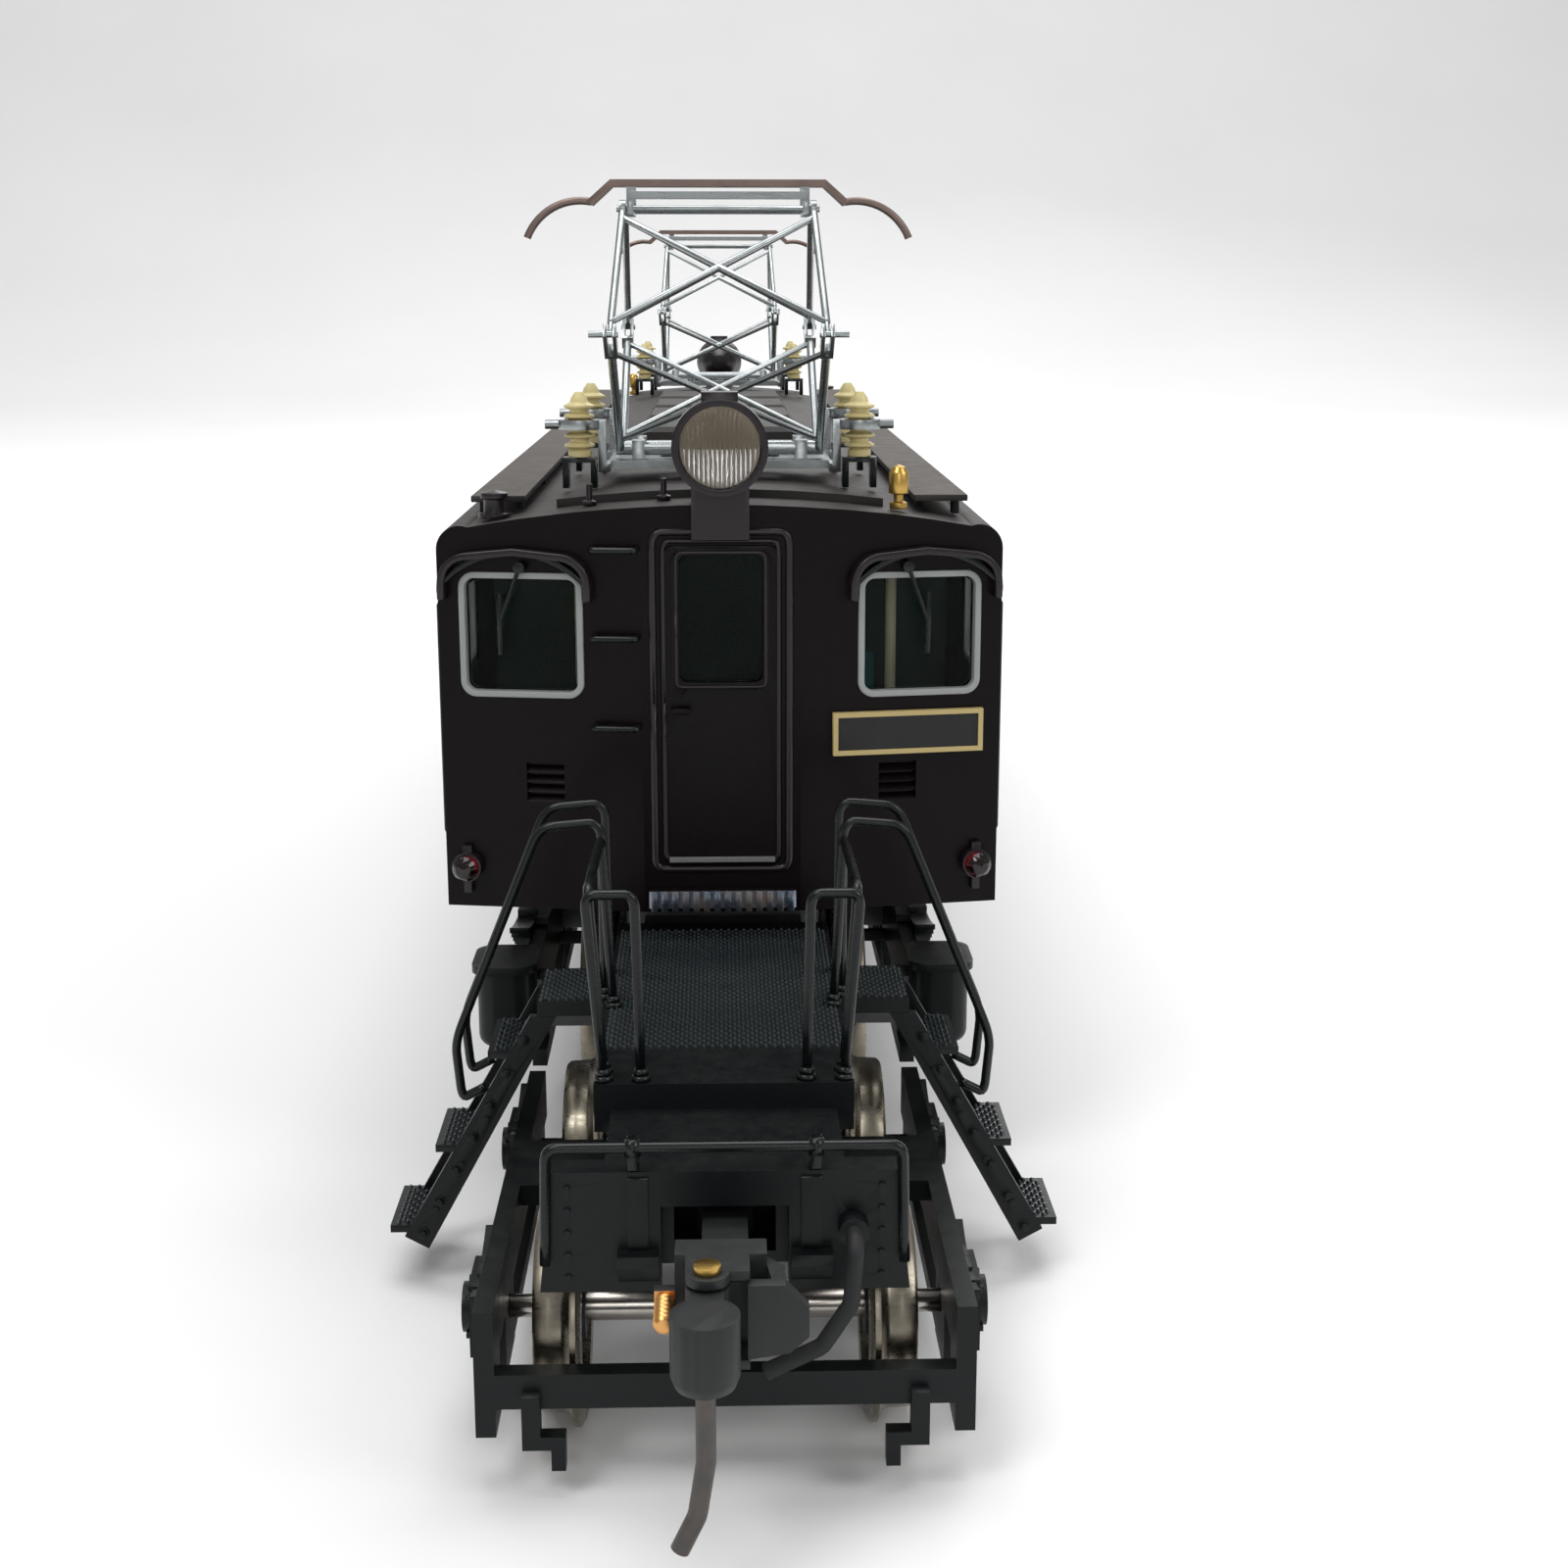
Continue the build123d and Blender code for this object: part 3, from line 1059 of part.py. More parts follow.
def make_side_frames():
    """The outside frames of the main truck: bars, journal boxes, springs, brakes and sand boxes."""
    inner, outer = SIDE_FRAME_INNER, SIDE_FRAME_INNER + SIDE_FRAME_THICKNESS
    x_span = (inner, outer)
    low, high, end = 5.2, 14.2, END_ARM_Y + CROSS_ARM_HALF
    frame = block(x_span, (-end, end), (9.9, high))
    frame += block(x_span, (-end + 6, end - 6), (low, low + 1.2))
    for y in (-DRIVER_SPACING, 0, DRIVER_SPACING):
        frame += block(x_span, (y - 2.9, y + 2.9), (low, high))
        frame += journal_box(y, DRIVER_Z, 4.4, outer - 0.1, 1.3)
        frame += leaf_spring(y, 14.6, 13.0, 5, (outer - 0.1, outer + 1.2))
        frame += block((inner, outer + 0.5), (y - 1.4, y + 1.4), (high - 0.5, high + 0.5))
        frame += block((outer - 0.1, outer + 0.9), (y - 0.7, y + 0.7), (DRIVER_Z + 2.2, 13.4))
    for y in (-DRIVER_SPACING / 2, DRIVER_SPACING / 2):
        frame += side_profile(
            [(y - 5.2, low + 1.1), (y - 4.2, low + 1.1), (y + 5.2, 10), (y + 4.2, 10)], x_span,
        )
        frame += cross_rod((outer - 0.1, outer + 0.6), y, 12.2, 0.8)
    shoe_reach = DRIVER_RADIUS + 0.45
    for y, side in ((-DRIVER_SPACING, 1), (0, 1), (DRIVER_SPACING, -1)):
        edge = y + side * shoe_reach
        shoe_span = sorted_span(edge - side * 1.6, edge + side * 1.1)
        shoe = block(
            (WHEEL_INNER + 1.1, WHEEL_INNER + DRIVER_WHEEL_WIDTH - 0.1), shoe_span,
            (DRIVER_Z - 2.6, DRIVER_Z + 2.6),
        )
        shoe -= cross_rod((0, 20), y, DRIVER_Z, shoe_reach)
        hanger = sorted_span(edge + side * 0.3, edge + side * 1.0)
        frame += shoe + block((WHEEL_INNER + 1.5, outer), hanger, (DRIVER_Z + 1.2, DRIVER_Z + 2.0))
    box_low, box_high = 9.2, 14.4
    box_y = -(PIVOT_INSET - 4.6)
    sand = block((inner + 0.2, inner + 3.8), (box_y - 2.3, box_y + 2.3), (box_low, box_high))
    sand = fillet(sand.edges().filter_by(Axis.Z), 1.2)
    sand = fillet(sand.faces().sort_by(Axis.Z)[0].edges(), 0.9)
    lid = block((inner - 0.1, inner + 4.1), (box_y - 2.6, box_y + 2.6), (box_high - 0.02, box_high + 0.5))
    lid = fillet(lid.edges().filter_by(Axis.Z), 1.2)
    frame += [sand, lid]
    return both_sides(frame)


def make_guide_frame():
    """The guide truck: transom with its pivot hole, outside frames, crossbar and rail guards."""
    inner, outer = GUIDE_FRAME_INNER, GUIDE_FRAME_INNER + GUIDE_FRAME_THICKNESS
    transom_high = GUIDE_TRANSOM_LOW + GUIDE_TRANSOM_THICKNESS
    half = GUIDE_WHEELBASE / 2
    front, back = -half - 7.8, half + 4.0
    side = block((inner, outer), (front, back), (6.6, 9.6))
    side += block((inner, outer), (front, front + 2.6), (3.0, 9.6))
    for y in (-half, half):
        side += block((inner, outer), (y - 2.2, y + 2.2), (3.2, 9.6))
        hub = journal_box(y, GUIDE_Z, 3.6, outer - 0.1, 1.0)
        side += hub
        side += leaf_spring(y, 7.8, 8.4, 4, (outer - 0.1, outer + 0.6))
    side += side_profile(
        [(-half + 2, 3.4), (half - 2, 3.4), (half - 2, 4.4), (-half + 2, 4.4)], (inner, outer),
    )
    for y in (-half, half):
        side -= cross_rod((inner - 1, outer - 0.05), y, GUIDE_Z, GUIDE_JOURNAL_RADIUS + RUNNING_GAP)
    frame = Part() + both_sides(side)
    frame += block((-inner - 0.1, inner + 0.1), (-3.2, 3.2), (GUIDE_TRANSOM_LOW, transom_high))
    frame -= post(0, 0, (0, 20), 1.2 + RUNNING_GAP)
    frame += block((-inner - 0.1, inner + 0.1), (front, front + 1.1), (4.5, 6.3))
    for x in (-1, 1):
        outline = [
            (9.0, 5.4), (9.9, 5.4), (9.9, 2.6), (8.5, 2.6), (8.5, 1.5), (7.8, 1.5), (7.8, 3.3),
            (9.0, 3.3),
        ]
        frame += end_profile([(x * point[0], point[1]) for point in outline], (front - 0.6, front + 0.3))
    return [Pos(0, -GUIDE_OFFSET, 0) * frame]


# ---- end deck, steps and rails ----------------------------------------
def make_end_deck():
    """The deck with its wings and skirts, the centre sill, the end beam, its pads and the hose."""
    low = DECK_UNDER
    deck = block((-DECK_HALF_WIDTH, DECK_HALF_WIDTH), (DECK_FRONT, DECK_BACK), (low, DECK_TOP))
    deck += block((-WING_HALF_WIDTH, WING_HALF_WIDTH), (WING_FRONT, WING_BACK), (low, DECK_TOP))
    deck += block((-DECK_HALF_WIDTH, DECK_HALF_WIDTH), (DECK_FRONT, DECK_FRONT + 0.7), (14.9, DECK_TOP))
    for x in (-1, 1):
        outer = x * DECK_HALF_WIDTH
        deck += block(sorted_span(outer, outer - x * 0.6), (DECK_FRONT, DECK_BACK), (15.5, DECK_TOP))
    sill = block((-5.85, 5.85), (BEAM_REAR - 0.02, DECK_FRONT + 0.02), (14.6, 16.1))
    outline = [
        (-BEAM_TOP_HALF, BEAM_TOP), (BEAM_TOP_HALF, BEAM_TOP), (BEAM_BOTTOM_HALF, BEAM_BOTTOM),
        (-BEAM_BOTTOM_HALF, BEAM_BOTTOM),
    ]
    beam = end_profile(outline, (BEAM_FRONT, BEAM_REAR))
    beam -= block(
        (-POCKET_HALF, POCKET_HALF), (BEAM_FRONT - 1, BEAM_REAR + 1),
        (BEAM_BOTTOM - 1, COUPLER_Z + 1.9),
    )
    for x in (-4.2, 4.2):
        beam += block((x - 0.5, x + 0.5), (BEAM_FRONT - 0.2, BEAM_FRONT + 0.1), (12.4, BEAM_TOP - 0.3))
        ledge = side_profile(
            [
                (BEAM_FRONT + 0.1, 12.2), (BEAM_FRONT - 0.9, 12.2), (BEAM_FRONT - 0.9, 11.6),
                (BEAM_FRONT + 0.1, 10.4),
            ],
            (x - 1.0, x + 1.0),
        )
        beam += ledge
    for row in range(5):
        for x in (-7.6, 7.6):
            beam += rod(
                (x, BEAM_FRONT + 0.1, 10.8 + row * 1.15), (x, BEAM_FRONT - 0.15, 10.8 + row * 1.15),
                0.18,
            )
    pocket_y = (BEAM_REAR - 0.02, COUPLER_PIVOT_Y + 2.4)
    pocket = block((-POCKET_HALF, POCKET_HALF), pocket_y, (COUPLER_Z - 1.8, 14.62))
    pocket -= block(
        (-POCKET_HALF + 0.6, POCKET_HALF - 0.6), (pocket_y[0] - 1, pocket_y[1] - 0.6),
        (COUPLER_Z - 1.2, COUPLER_Z + 1.2),
    )
    pocket += post(0, COUPLER_PIVOT_Y, (COUPLER_Z - 1.3, COUPLER_Z + 1.3), 0.8)
    deck += [sill, beam, pocket]
    hose_y = BEAM_FRONT - 2.4
    points = [
        (6.2, BEAM_FRONT + 0.1, 13.4), (6.2, hose_y, 13.4), (6.0, hose_y, 10.4), (4.6, hose_y, 8.2),
        (1.9, hose_y, 6.9),
    ]
    hose = wire_form(points, 0.9, 0.42)
    cock = rod((6.2, BEAM_FRONT - 0.1, 13.4), (6.2, BEAM_FRONT - 1.1, 13.4), 0.75)
    return [deck + [hose, cock]]


def make_side_steps():
    """The slanted side steps: two stringers, three treads and their bolts on each side."""
    head = (WING_HALF_WIDTH - 0.4, DECK_UNDER - 0.02)
    run, rise = STEP_FOOT_X - head[0], STEP_FOOT_Z - head[1]
    length = math.hypot(run, rise)
    across = (-rise / length * STRINGER_WIDTH / 2, run / length * STRINGER_WIDTH / 2)
    outline = [
        (head[0] - across[0], head[1]), (head[0] + across[0] * 1.2, head[1]),
        (
            STEP_FOOT_X + across[0], STEP_FOOT_Z + across[1],
        ), (STEP_FOOT_X - across[0], STEP_FOOT_Z - across[1]),
    ]
    steps = Part()
    for y in (WING_FRONT, WING_BACK - STRINGER_THICKNESS):
        steps += end_profile(outline, (y, y + STRINGER_THICKNESS))
        for share in (0.25, 0.45, 0.65, 0.85):
            x, z = head[0] + run * share, head[1] + rise * share
            steps += rod((x, y - 0.12, z), (x, y + STRINGER_THICKNESS + 0.12, z), 0.22)
    for share in (0.17, 0.58, 0.94):
        x, z = head[0] + run * share, head[1] + rise * share
        steps += block((x - 0.1, x + 2.0), (WING_FRONT + 0.05, WING_BACK - 0.05), (z - 0.2, z + 0.25))
    return both_sides(steps)


def make_handrails():
    """Front hoops, side rails, the long rails down to the steps, and the end beam's rail."""
    shapes = []
    front_y = DECK_FRONT + 0.6
    hoop = [(DECK_HALF_WIDTH - 0.5, front_y, DECK_TOP + 0.02), (DECK_HALF_WIDTH + 0.3, front_y, RAIL_TOP - 0.5),
            (4.5, front_y, RAIL_TOP - 0.5), (4.3, front_y, DECK_TOP + 0.02)]
    shapes += both_sides(wire_form(hoop, 0.8, RAIL_RADIUS))
    side = [(DECK_HALF_WIDTH - 0.45, front_y + 1.2, DECK_TOP + 0.02), (DECK_HALF_WIDTH + 0.2, front_y + 1.2, RAIL_TOP - 0.6),
            (DECK_HALF_WIDTH + 0.1, WING_FRONT - 1.0, RAIL_TOP - 0.6), (DECK_HALF_WIDTH - 0.45, WING_FRONT - 1.0, DECK_TOP + 0.02)]
    shapes += both_sides(wire_form(side, 0.8, RAIL_RADIUS))
    slope = (STEP_FOOT_X - WING_HALF_WIDTH + 0.4) / (DECK_UNDER - STEP_FOOT_Z)
    hook_z = 12.0
    hook_x = WING_HALF_WIDTH - 0.4 + slope * (DECK_UNDER - hook_z) + STRINGER_WIDTH / 2
    for y in (WING_FRONT + 0.6, WING_BACK - 0.6):
        long_rail = [(DECK_HALF_WIDTH + 0.1, y, DECK_TOP + 0.02), (DECK_HALF_WIDTH + 0.1, y, RAIL_TOP), (DECK_HALF_WIDTH + 1.1, y, RAIL_TOP),
                     (RAIL_OUT_X, y, RAIL_OUT_Z), (hook_x + 0.35, y, hook_z)]
        shapes += both_sides(wire_form(long_rail, 0.45, RAIL_RADIUS))
    beam_y = BEAM_FRONT - 0.3
    rail = [(-BEAM_TOP_HALF - 0.35, beam_y, 11.6), (-BEAM_TOP_HALF - 0.2, beam_y, 17.6), (BEAM_TOP_HALF + 0.2, beam_y, 17.6),
            (BEAM_TOP_HALF + 0.35, beam_y, 11.6)]
    shapes.append(wire_form(rail, 0.9, RAIL_RADIUS))
    for x in (-4.4, 4.4):
        shapes.append(block((x - 0.3, x + 0.3), (beam_y + 0.3, beam_y + 0.9), (BEAM_TOP + 0.02, 17.9)))
    return shapes


# ---- coupler ----------------------------------------
def make_coupler():
    """The coupler head with its shank, guard arm, rivet and knuckle spring."""
    low, high = COUPLER_Z - 1.1, COUPLER_Z + 1.1
    eye = Pos(0, COUPLER_PIVOT_Y, COUPLER_Z) * Cylinder(1.5, 2.2)
    shank = block((-1.1, 1.1), (KNUCKLE_PIVOT_Y + 1.6, COUPLER_PIVOT_Y), (low, high))
    head = shank + eye - post(0, COUPLER_PIVOT_Y, (0, 20), 0.8 + RUNNING_GAP)
    top, bottom = COUPLER_Z + KNUCKLE_HEIGHT / 2 + 0.6, COUPLER_Z - KNUCKLE_HEIGHT / 2 - 0.6
    back = KNUCKLE_PIVOT_Y + 1.75
    head += block((-2.3, 1.9), (back, back + 1.6), (bottom, top))
    for z_span in ((bottom, bottom + 0.45), (top - 0.45, top)):
        head += block((COUPLER_RIVET_X - 1.0, COUPLER_RIVET_X + 1.9), (KNUCKLE_PIVOT_Y, back + 0.1), z_span)
        head += post(COUPLER_RIVET_X, KNUCKLE_PIVOT_Y, z_span, 1.0)
    head -= post(COUPLER_RIVET_X, KNUCKLE_PIVOT_Y, (0, 20), 0.45)
    half = KNUCKLE_HEIGHT / 2
    outline = [
        (1.0, COUPLER_Z + half), (2.7, COUPLER_Z + half), (GUARD_REACH, COUPLER_Z + 0.7),
        (GUARD_REACH, COUPLER_Z - 0.7), (2.9, COUPLER_Z - 1.5), (1.0, COUPLER_Z - half),
    ]
    head += end_profile(outline, (back - 2.0, back - 2.0 + GUARD_THICKNESS))
    plan = [
        (0.9, back + 1.0), (1.9, back + 1.0), (2.7, back), (2.7, back - 1.5), (2.1, back - 1.5), (1.9, back + 0.1), (0.9, back + 0.1),
    ]
    root = extrude(make_face(Polyline(*plan, close=True)), amount=KNUCKLE_HEIGHT)
    head += Pos(0, 0, COUPLER_Z - half) * root
    rivet = post(COUPLER_RIVET_X, KNUCKLE_PIVOT_Y, (bottom - 0.25, top), 0.42) + post(
        COUPLER_RIVET_X, KNUCKLE_PIVOT_Y, (top + 0.02, top + 0.35), 0.62,
    )
    spring_x = -2.75
    outline = [(0, 0)]
    turns = 6
    for index in range(turns):
        outline += [(index * 0.4, 0.32), (index * 0.4 + 0.2, 0.5), (index * 0.4 + 0.38, 0.32)]
    outline += [(turns * 0.4, 0)]
    spring = Pos(spring_x, back - 2.2, COUPLER_Z) * Rot(0, 0, 90) * turned(outline)
    seat = block((spring_x - 0.5, -2.2), (back + 0.25, back + 0.9), (COUPLER_Z - 0.5, COUPLER_Z + 0.5))
    return [head + seat, rivet, spring]


def make_knuckle():
    """The knuckle: round nose, tail with the rivet bore, and the trip pin hanging below."""
    low, high = COUPLER_Z - KNUCKLE_HEIGHT / 2, COUPLER_Z + KNUCKLE_HEIGHT / 2
    nose_y = COUPLER_FACE_Y + KNUCKLE_RADIUS
    nose = turned_up([
        (0, 0), (KNUCKLE_RADIUS - 0.6, 0), (KNUCKLE_RADIUS - 0.2, 0.25), (KNUCKLE_RADIUS, 0.75),
        (KNUCKLE_RADIUS, KNUCKLE_HEIGHT), (0, KNUCKLE_HEIGHT),
    ])
    nose = Pos(COUPLER_RIVET_X - 0.1, nose_y, low) * nose
    web = block((COUPLER_RIVET_X - 0.75, COUPLER_RIVET_X + 0.75), (nose_y, KNUCKLE_PIVOT_Y), (low, high))
    tail = post(COUPLER_RIVET_X, KNUCKLE_PIVOT_Y, (low + 0.05, high - 0.05), 1.0)
    knuckle = nose + web + tail
    knuckle -= post(COUPLER_RIVET_X, KNUCKLE_PIVOT_Y, (0, 20), 0.42 + RUNNING_GAP)
    pin = [
        (COUPLER_RIVET_X - 0.1, nose_y, low + 0.6), (COUPLER_RIVET_X - 0.1, nose_y, 7.2),
        (COUPLER_RIVET_X - 0.5, nose_y, 4.6), (COUPLER_RIVET_X - 1.3, nose_y, 2.9),
    ]
    knuckle += wire_form(pin, 1.6, 0.45)
    return [knuckle]


# ---- write every sub-part ----------------------------------------
def write_body():
    save("body_shell", make_body_shell())
    save("window_frames", make_window_frames())
    save("window_panes", make_window_panes())
    save("end_doors", make_end_doors())
    save("body_trim", make_body_trim())
    save("lamp_housings", make_lamp_housings())
    save("headlight_lenses", make_headlight_lenses())
    save("tail_lamp_lenses", both_ends(both_sides(make_tail_lens())))
    save("roof_walkways", make_roof_walkways())
    save("roof_fittings", make_roof_fittings())
    save("insulators", make_insulators())
    save("pantograph_bases", make_pantograph_bases())
    save("underframe", make_underframe())
    save("ballast", make_ballast())
    save("circuit_board", make_circuit_board())
    save("cab_interiors", make_cab_interiors())


def write_pantograph(end, turn):
    pieces = {
        "pantograph_lower_outer": make_lower_frame(-1),
        "pantograph_lower_inner": make_lower_frame(1),
        "pantograph_upper_outer": make_upper_frame(-1),
        "pantograph_upper_inner": make_upper_frame(1),
        "pantograph_head": make_pantograph_head(),
    }
    for name, shape in pieces.items():
        save(f"{end}_{name}", [Rot(0, 0, turn) * Pos(0, -PANTOGRAPH_Y, 0) * shape])


def write_truck(end, turn):
    pieces = {
        "truck_frame": make_truck_frame(),
        "keeper_plate": make_keeper_plate(),
        "pivot_hardware": make_pivot_hardware(),
        "side_frames": make_side_frames(),
        "end_deck": make_end_deck(),
        "handrails": make_handrails(),
        "side_steps": make_side_steps(),
        "motor_can": make_motor_can(),
        "drive_shaft": make_drive_shaft(),
        "guide_frame": make_guide_frame(),
        "coupler": make_coupler(),
        "knuckle": make_knuckle(),
    }
    for index in range(3):
        pieces[f"driver_{index + 1}"] = make_driver((index - 1) * DRIVER_SPACING)
    for index in range(2):
        place = -GUIDE_OFFSET + (index - 0.5) * GUIDE_WHEELBASE
        pieces[f"guide_wheelset_{index + 1}"] = make_guide_wheelset(place)
    for name, shapes in pieces.items():
        save_at_end(name, shapes, end, turn)


os.makedirs("parts", exist_ok=True)
write_body()
for end_name, end_turn in ENDS:
    write_pantograph(end_name, end_turn)
    write_truck(end_name, end_turn)
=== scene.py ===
import math

import bmesh
import bpy
from bpy.props import FloatProperty, FloatVectorProperty, IntProperty, PointerProperty
from mathutils import Matrix, Vector
from mathutils.bvhtree import BVHTree


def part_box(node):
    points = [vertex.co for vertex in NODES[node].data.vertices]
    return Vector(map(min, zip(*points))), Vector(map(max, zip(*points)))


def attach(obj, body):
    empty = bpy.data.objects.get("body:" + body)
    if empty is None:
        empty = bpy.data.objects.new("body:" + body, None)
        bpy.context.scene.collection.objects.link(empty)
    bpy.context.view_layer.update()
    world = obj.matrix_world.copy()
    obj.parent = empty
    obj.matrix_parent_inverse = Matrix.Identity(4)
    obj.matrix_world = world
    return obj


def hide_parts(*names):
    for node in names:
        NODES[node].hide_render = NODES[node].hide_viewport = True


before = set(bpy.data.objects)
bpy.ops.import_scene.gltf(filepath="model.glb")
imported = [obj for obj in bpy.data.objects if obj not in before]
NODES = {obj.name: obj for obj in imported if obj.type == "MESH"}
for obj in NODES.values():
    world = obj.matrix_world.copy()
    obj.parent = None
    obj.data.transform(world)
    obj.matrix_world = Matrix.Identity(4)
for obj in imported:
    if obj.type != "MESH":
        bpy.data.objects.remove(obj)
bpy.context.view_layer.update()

bl_info = {
    "name": "Model Electric Locomotive",
    "version": (1, 0, 0),
    "blender": (4, 5, 0),
    "location": "3D View > Sidebar > Locomotive",
    "description": "Finishes, detail pieces and stage of a small-scale box-cab electric locomotive",
    "category": "Object",
}

MM = 0.001  # one millimetre in metres; the sizes below are in millimetres, at the front end
ENDS = (("front", 1), ("rear", -1))
DECK_TOP = 17.5
DECK_HALF = 6.75
WING_HALF = 10.75
WING_SPAN = (-90.25, -84.45)
STEP_TREADS = ((11.58, 14.45), (14.8, 8.72), (17.63, 3.69))
END_FLAT = 4.9
END_FACE = -78.0
LAMP_FRONT = -79.6
ROW_SHARE = 0.8
# each moulding's half width, foot, top, wire radius and corner
DOOR_RINGS = ((4.2, 22.0, 43.15, 0.24, 1.5), (3.55, 22.6, 42.6, 0.15, 1.1), (2.75, 33.6, 41.9, 0.15, 0.9))
# each bolt row's height, first and last place along the locomotive, and count
FRAME_ROWS = ((10.6, -68.0, -8.0, 16), (6.4, -66.0, -10.0, 12), (12.6, -64.0, -12.0, 9))
GUIDE_ROWS = ((9.6, -108.0, -82.0, 10), (7.6, -107.4, -82.6, 5), (4.4, -108.6, -81.4, 6))
# the stringer's bolts run from the wing down to the foot: x and z at the top, and how far each moves
STRINGER_TOP = (11.6, 15.2)
STRINGER_RUN = (6.2, 12.0)
RAIL_RADIUS = 0.27
BEAM_RAIL_Y = -112.3
BEAM_RAIL = ((-8.7, BEAM_RAIL_Y, 11.6), (-8.55, BEAM_RAIL_Y, 17.6), (8.55, BEAM_RAIL_Y, 17.6), (8.7, BEAM_RAIL_Y, 11.6))
# each hand rail's corners, on the right, and how far from a corner its bend starts
RAIL_RUNS = [
    (((6.25, -103.1, 17.5), (7.05, -103.1, 27.5), (4.5, -103.1, 27.5), (4.3, -103.1, 17.5)), 1.5),
    (((6.3, -101.9, 17.5), (6.95, -101.9, 27.4), (6.85, -91.3, 27.4), (6.3, -91.3, 17.5)), 1.5),
] + [
    (((6.85, y, 17.5), (6.9, y, 28.0), (10.4, y, 27.7), (15.6, y, 14.9), (15.3, y, 11.4), (13.95, y, 12.1)), 2.2)
    for y in (-89.7, -85.0)
]
LAMP_Z = 48.3
LENS_RADIUS = 2.45
PANTOGRAPH_Y = 62.0
HEAD_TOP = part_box("front_pantograph_head")[1].z / MM
SHEET_BEND = math.radians(7)


# ---- sizes and colours a user would change ------------------------------------------------
class FinishSettings(bpy.types.PropertyGroup):
    """Colours and finishes of the painted and bare surfaces."""

    body_colour: FloatVectorProperty(
        name="Body colour", description="Dark brown-black of the casing", subtype="COLOR",
        size=3, min=0, max=1, default=(0.0036, 0.0018, 0.0024))
    gear_colour: FloatVectorProperty(
        name="Running gear colour", description="Blue-black of decks, frames and steps", subtype="COLOR",
        size=3, min=0, max=1, default=(0.0028, 0.0044, 0.0050))
    roof_colour: FloatVectorProperty(
        name="Roof colour", description="Weathered dark grey of the roof", subtype="COLOR",
        size=3, min=0, max=1, default=(0.03, 0.028, 0.027))
    insulator_colour: FloatVectorProperty(
        name="Insulator colour", description="Cream glaze of the insulators", subtype="COLOR",
        size=3, min=0, max=1, default=(0.62, 0.53, 0.26))
    edge_round: FloatProperty(
        name="Edge rounding", description="Rounding put on the edges of the moulded parts",
        subtype="DISTANCE", unit="LENGTH", default=0.07 * MM, min=0)


class DetailSettings(bpy.types.PropertyGroup):
    """Sizes of the raised and fluted detail."""

    diamond_pitch: FloatProperty(
        name="Diamond pitch", description="Spacing of the raised diamonds on the tread plates",
        subtype="DISTANCE", unit="LENGTH", default=0.48 * MM)
    diamond_height: FloatProperty(
        name="Diamond height", description="Height of the raised diamonds",
        subtype="DISTANCE", unit="LENGTH", default=0.16 * MM)
    flute_count: IntProperty(
        name="Lens flutes", description="Upright flutes across a headlight glass", default=17, min=3)
    spring_turns: IntProperty(
        name="Spring turns", description="Turns of each small coil spring", default=7, min=2)


class StageSettings(bpy.types.PropertyGroup):
    """The camera and the studio."""

    camera_place: FloatVectorProperty(
        name="Camera place", description="Where the camera stands", subtype="TRANSLATION", size=3,
        default=(0.0, -0.2082, 0.0575))
    camera_pitch: FloatProperty(
        name="Camera pitch", description="How far the camera looks down", subtype="ANGLE", unit="ROTATION",
        default=math.radians(13.0))
    camera_turn: FloatProperty(
        name="Camera turn", description="How far the camera turns to the right", subtype="ANGLE",
        unit="ROTATION", default=math.radians(1.7))
    focal_length: FloatProperty(
        name="Focal length", description="Lens focal length in millimetres", default=49.2, min=1)
    light_power: FloatProperty(
        name="Light power", description="Strength of the key softbox", subtype="POWER", default=0.55, min=0)


# ---- shader groups --------------------------------------------------------------------------
def new_group(name, inputs, outputs):
    """A shader node group with float, colour or vector sockets."""
    kinds = {"f": "NodeSocketFloat", "c": "NodeSocketColor", "v": "NodeSocketVector"}
    group = bpy.data.node_groups.new(name, "ShaderNodeTree")
    for label, kind, value in inputs:
        socket = group.interface.new_socket(label, in_out="INPUT", socket_type=kinds[kind])
        socket.default_value = value
    for label, kind in outputs:
        group.interface.new_socket(label, in_out="OUTPUT", socket_type=kinds[kind])
    return group, group.nodes.new("NodeGroupInput"), group.nodes.new("NodeGroupOutput")


def ramp(tree, source, low, high):
    """A factor spread between two values of the source."""
    node = tree.nodes.new("ShaderNodeMapRange")
    node.inputs["From Min"].default_value = low
    node.inputs["From Max"].default_value = high
    tree.links.new(source, node.inputs["Value"])
    return node.outputs["Result"]


def noise(tree, vector, scale, detail, roughness=0.5):
    """A noise texture's factor at a scale per metre."""
    node = tree.nodes.new("ShaderNodeTexNoise")
    node.inputs["Scale"].default_value = scale
    node.inputs["Detail"].default_value = detail
    node.inputs["Roughness"].default_value = roughness
    tree.links.new(vector, node.inputs["Vector"])
    return node.outputs["Fac"]


def maths(tree, operation, first, second):
    """A maths node on two sockets or numbers."""
    node = tree.nodes.new("ShaderNodeMath")
    node.operation = operation
    for index, value in enumerate((first, second)):
        if isinstance(value, (int, float)):
            node.inputs[index].default_value = value
        else:
            tree.links.new(value, node.inputs[index])
    return node.outputs[0]


def mix_colour(tree, factor, first, second):
    """Two colours mixed by a factor."""
    node = tree.nodes.new("ShaderNodeMix")
    node.data_type = "RGBA"
    for socket, value in ((node.inputs[0], factor), (node.inputs[6], first), (node.inputs[7], second)):
        if isinstance(value, (int, float)):
            socket.default_value = value
        elif isinstance(value, tuple):
            socket.default_value = (*value, 1.0)[:4]
        else:
            tree.links.new(value, socket)
    return node.outputs[2]


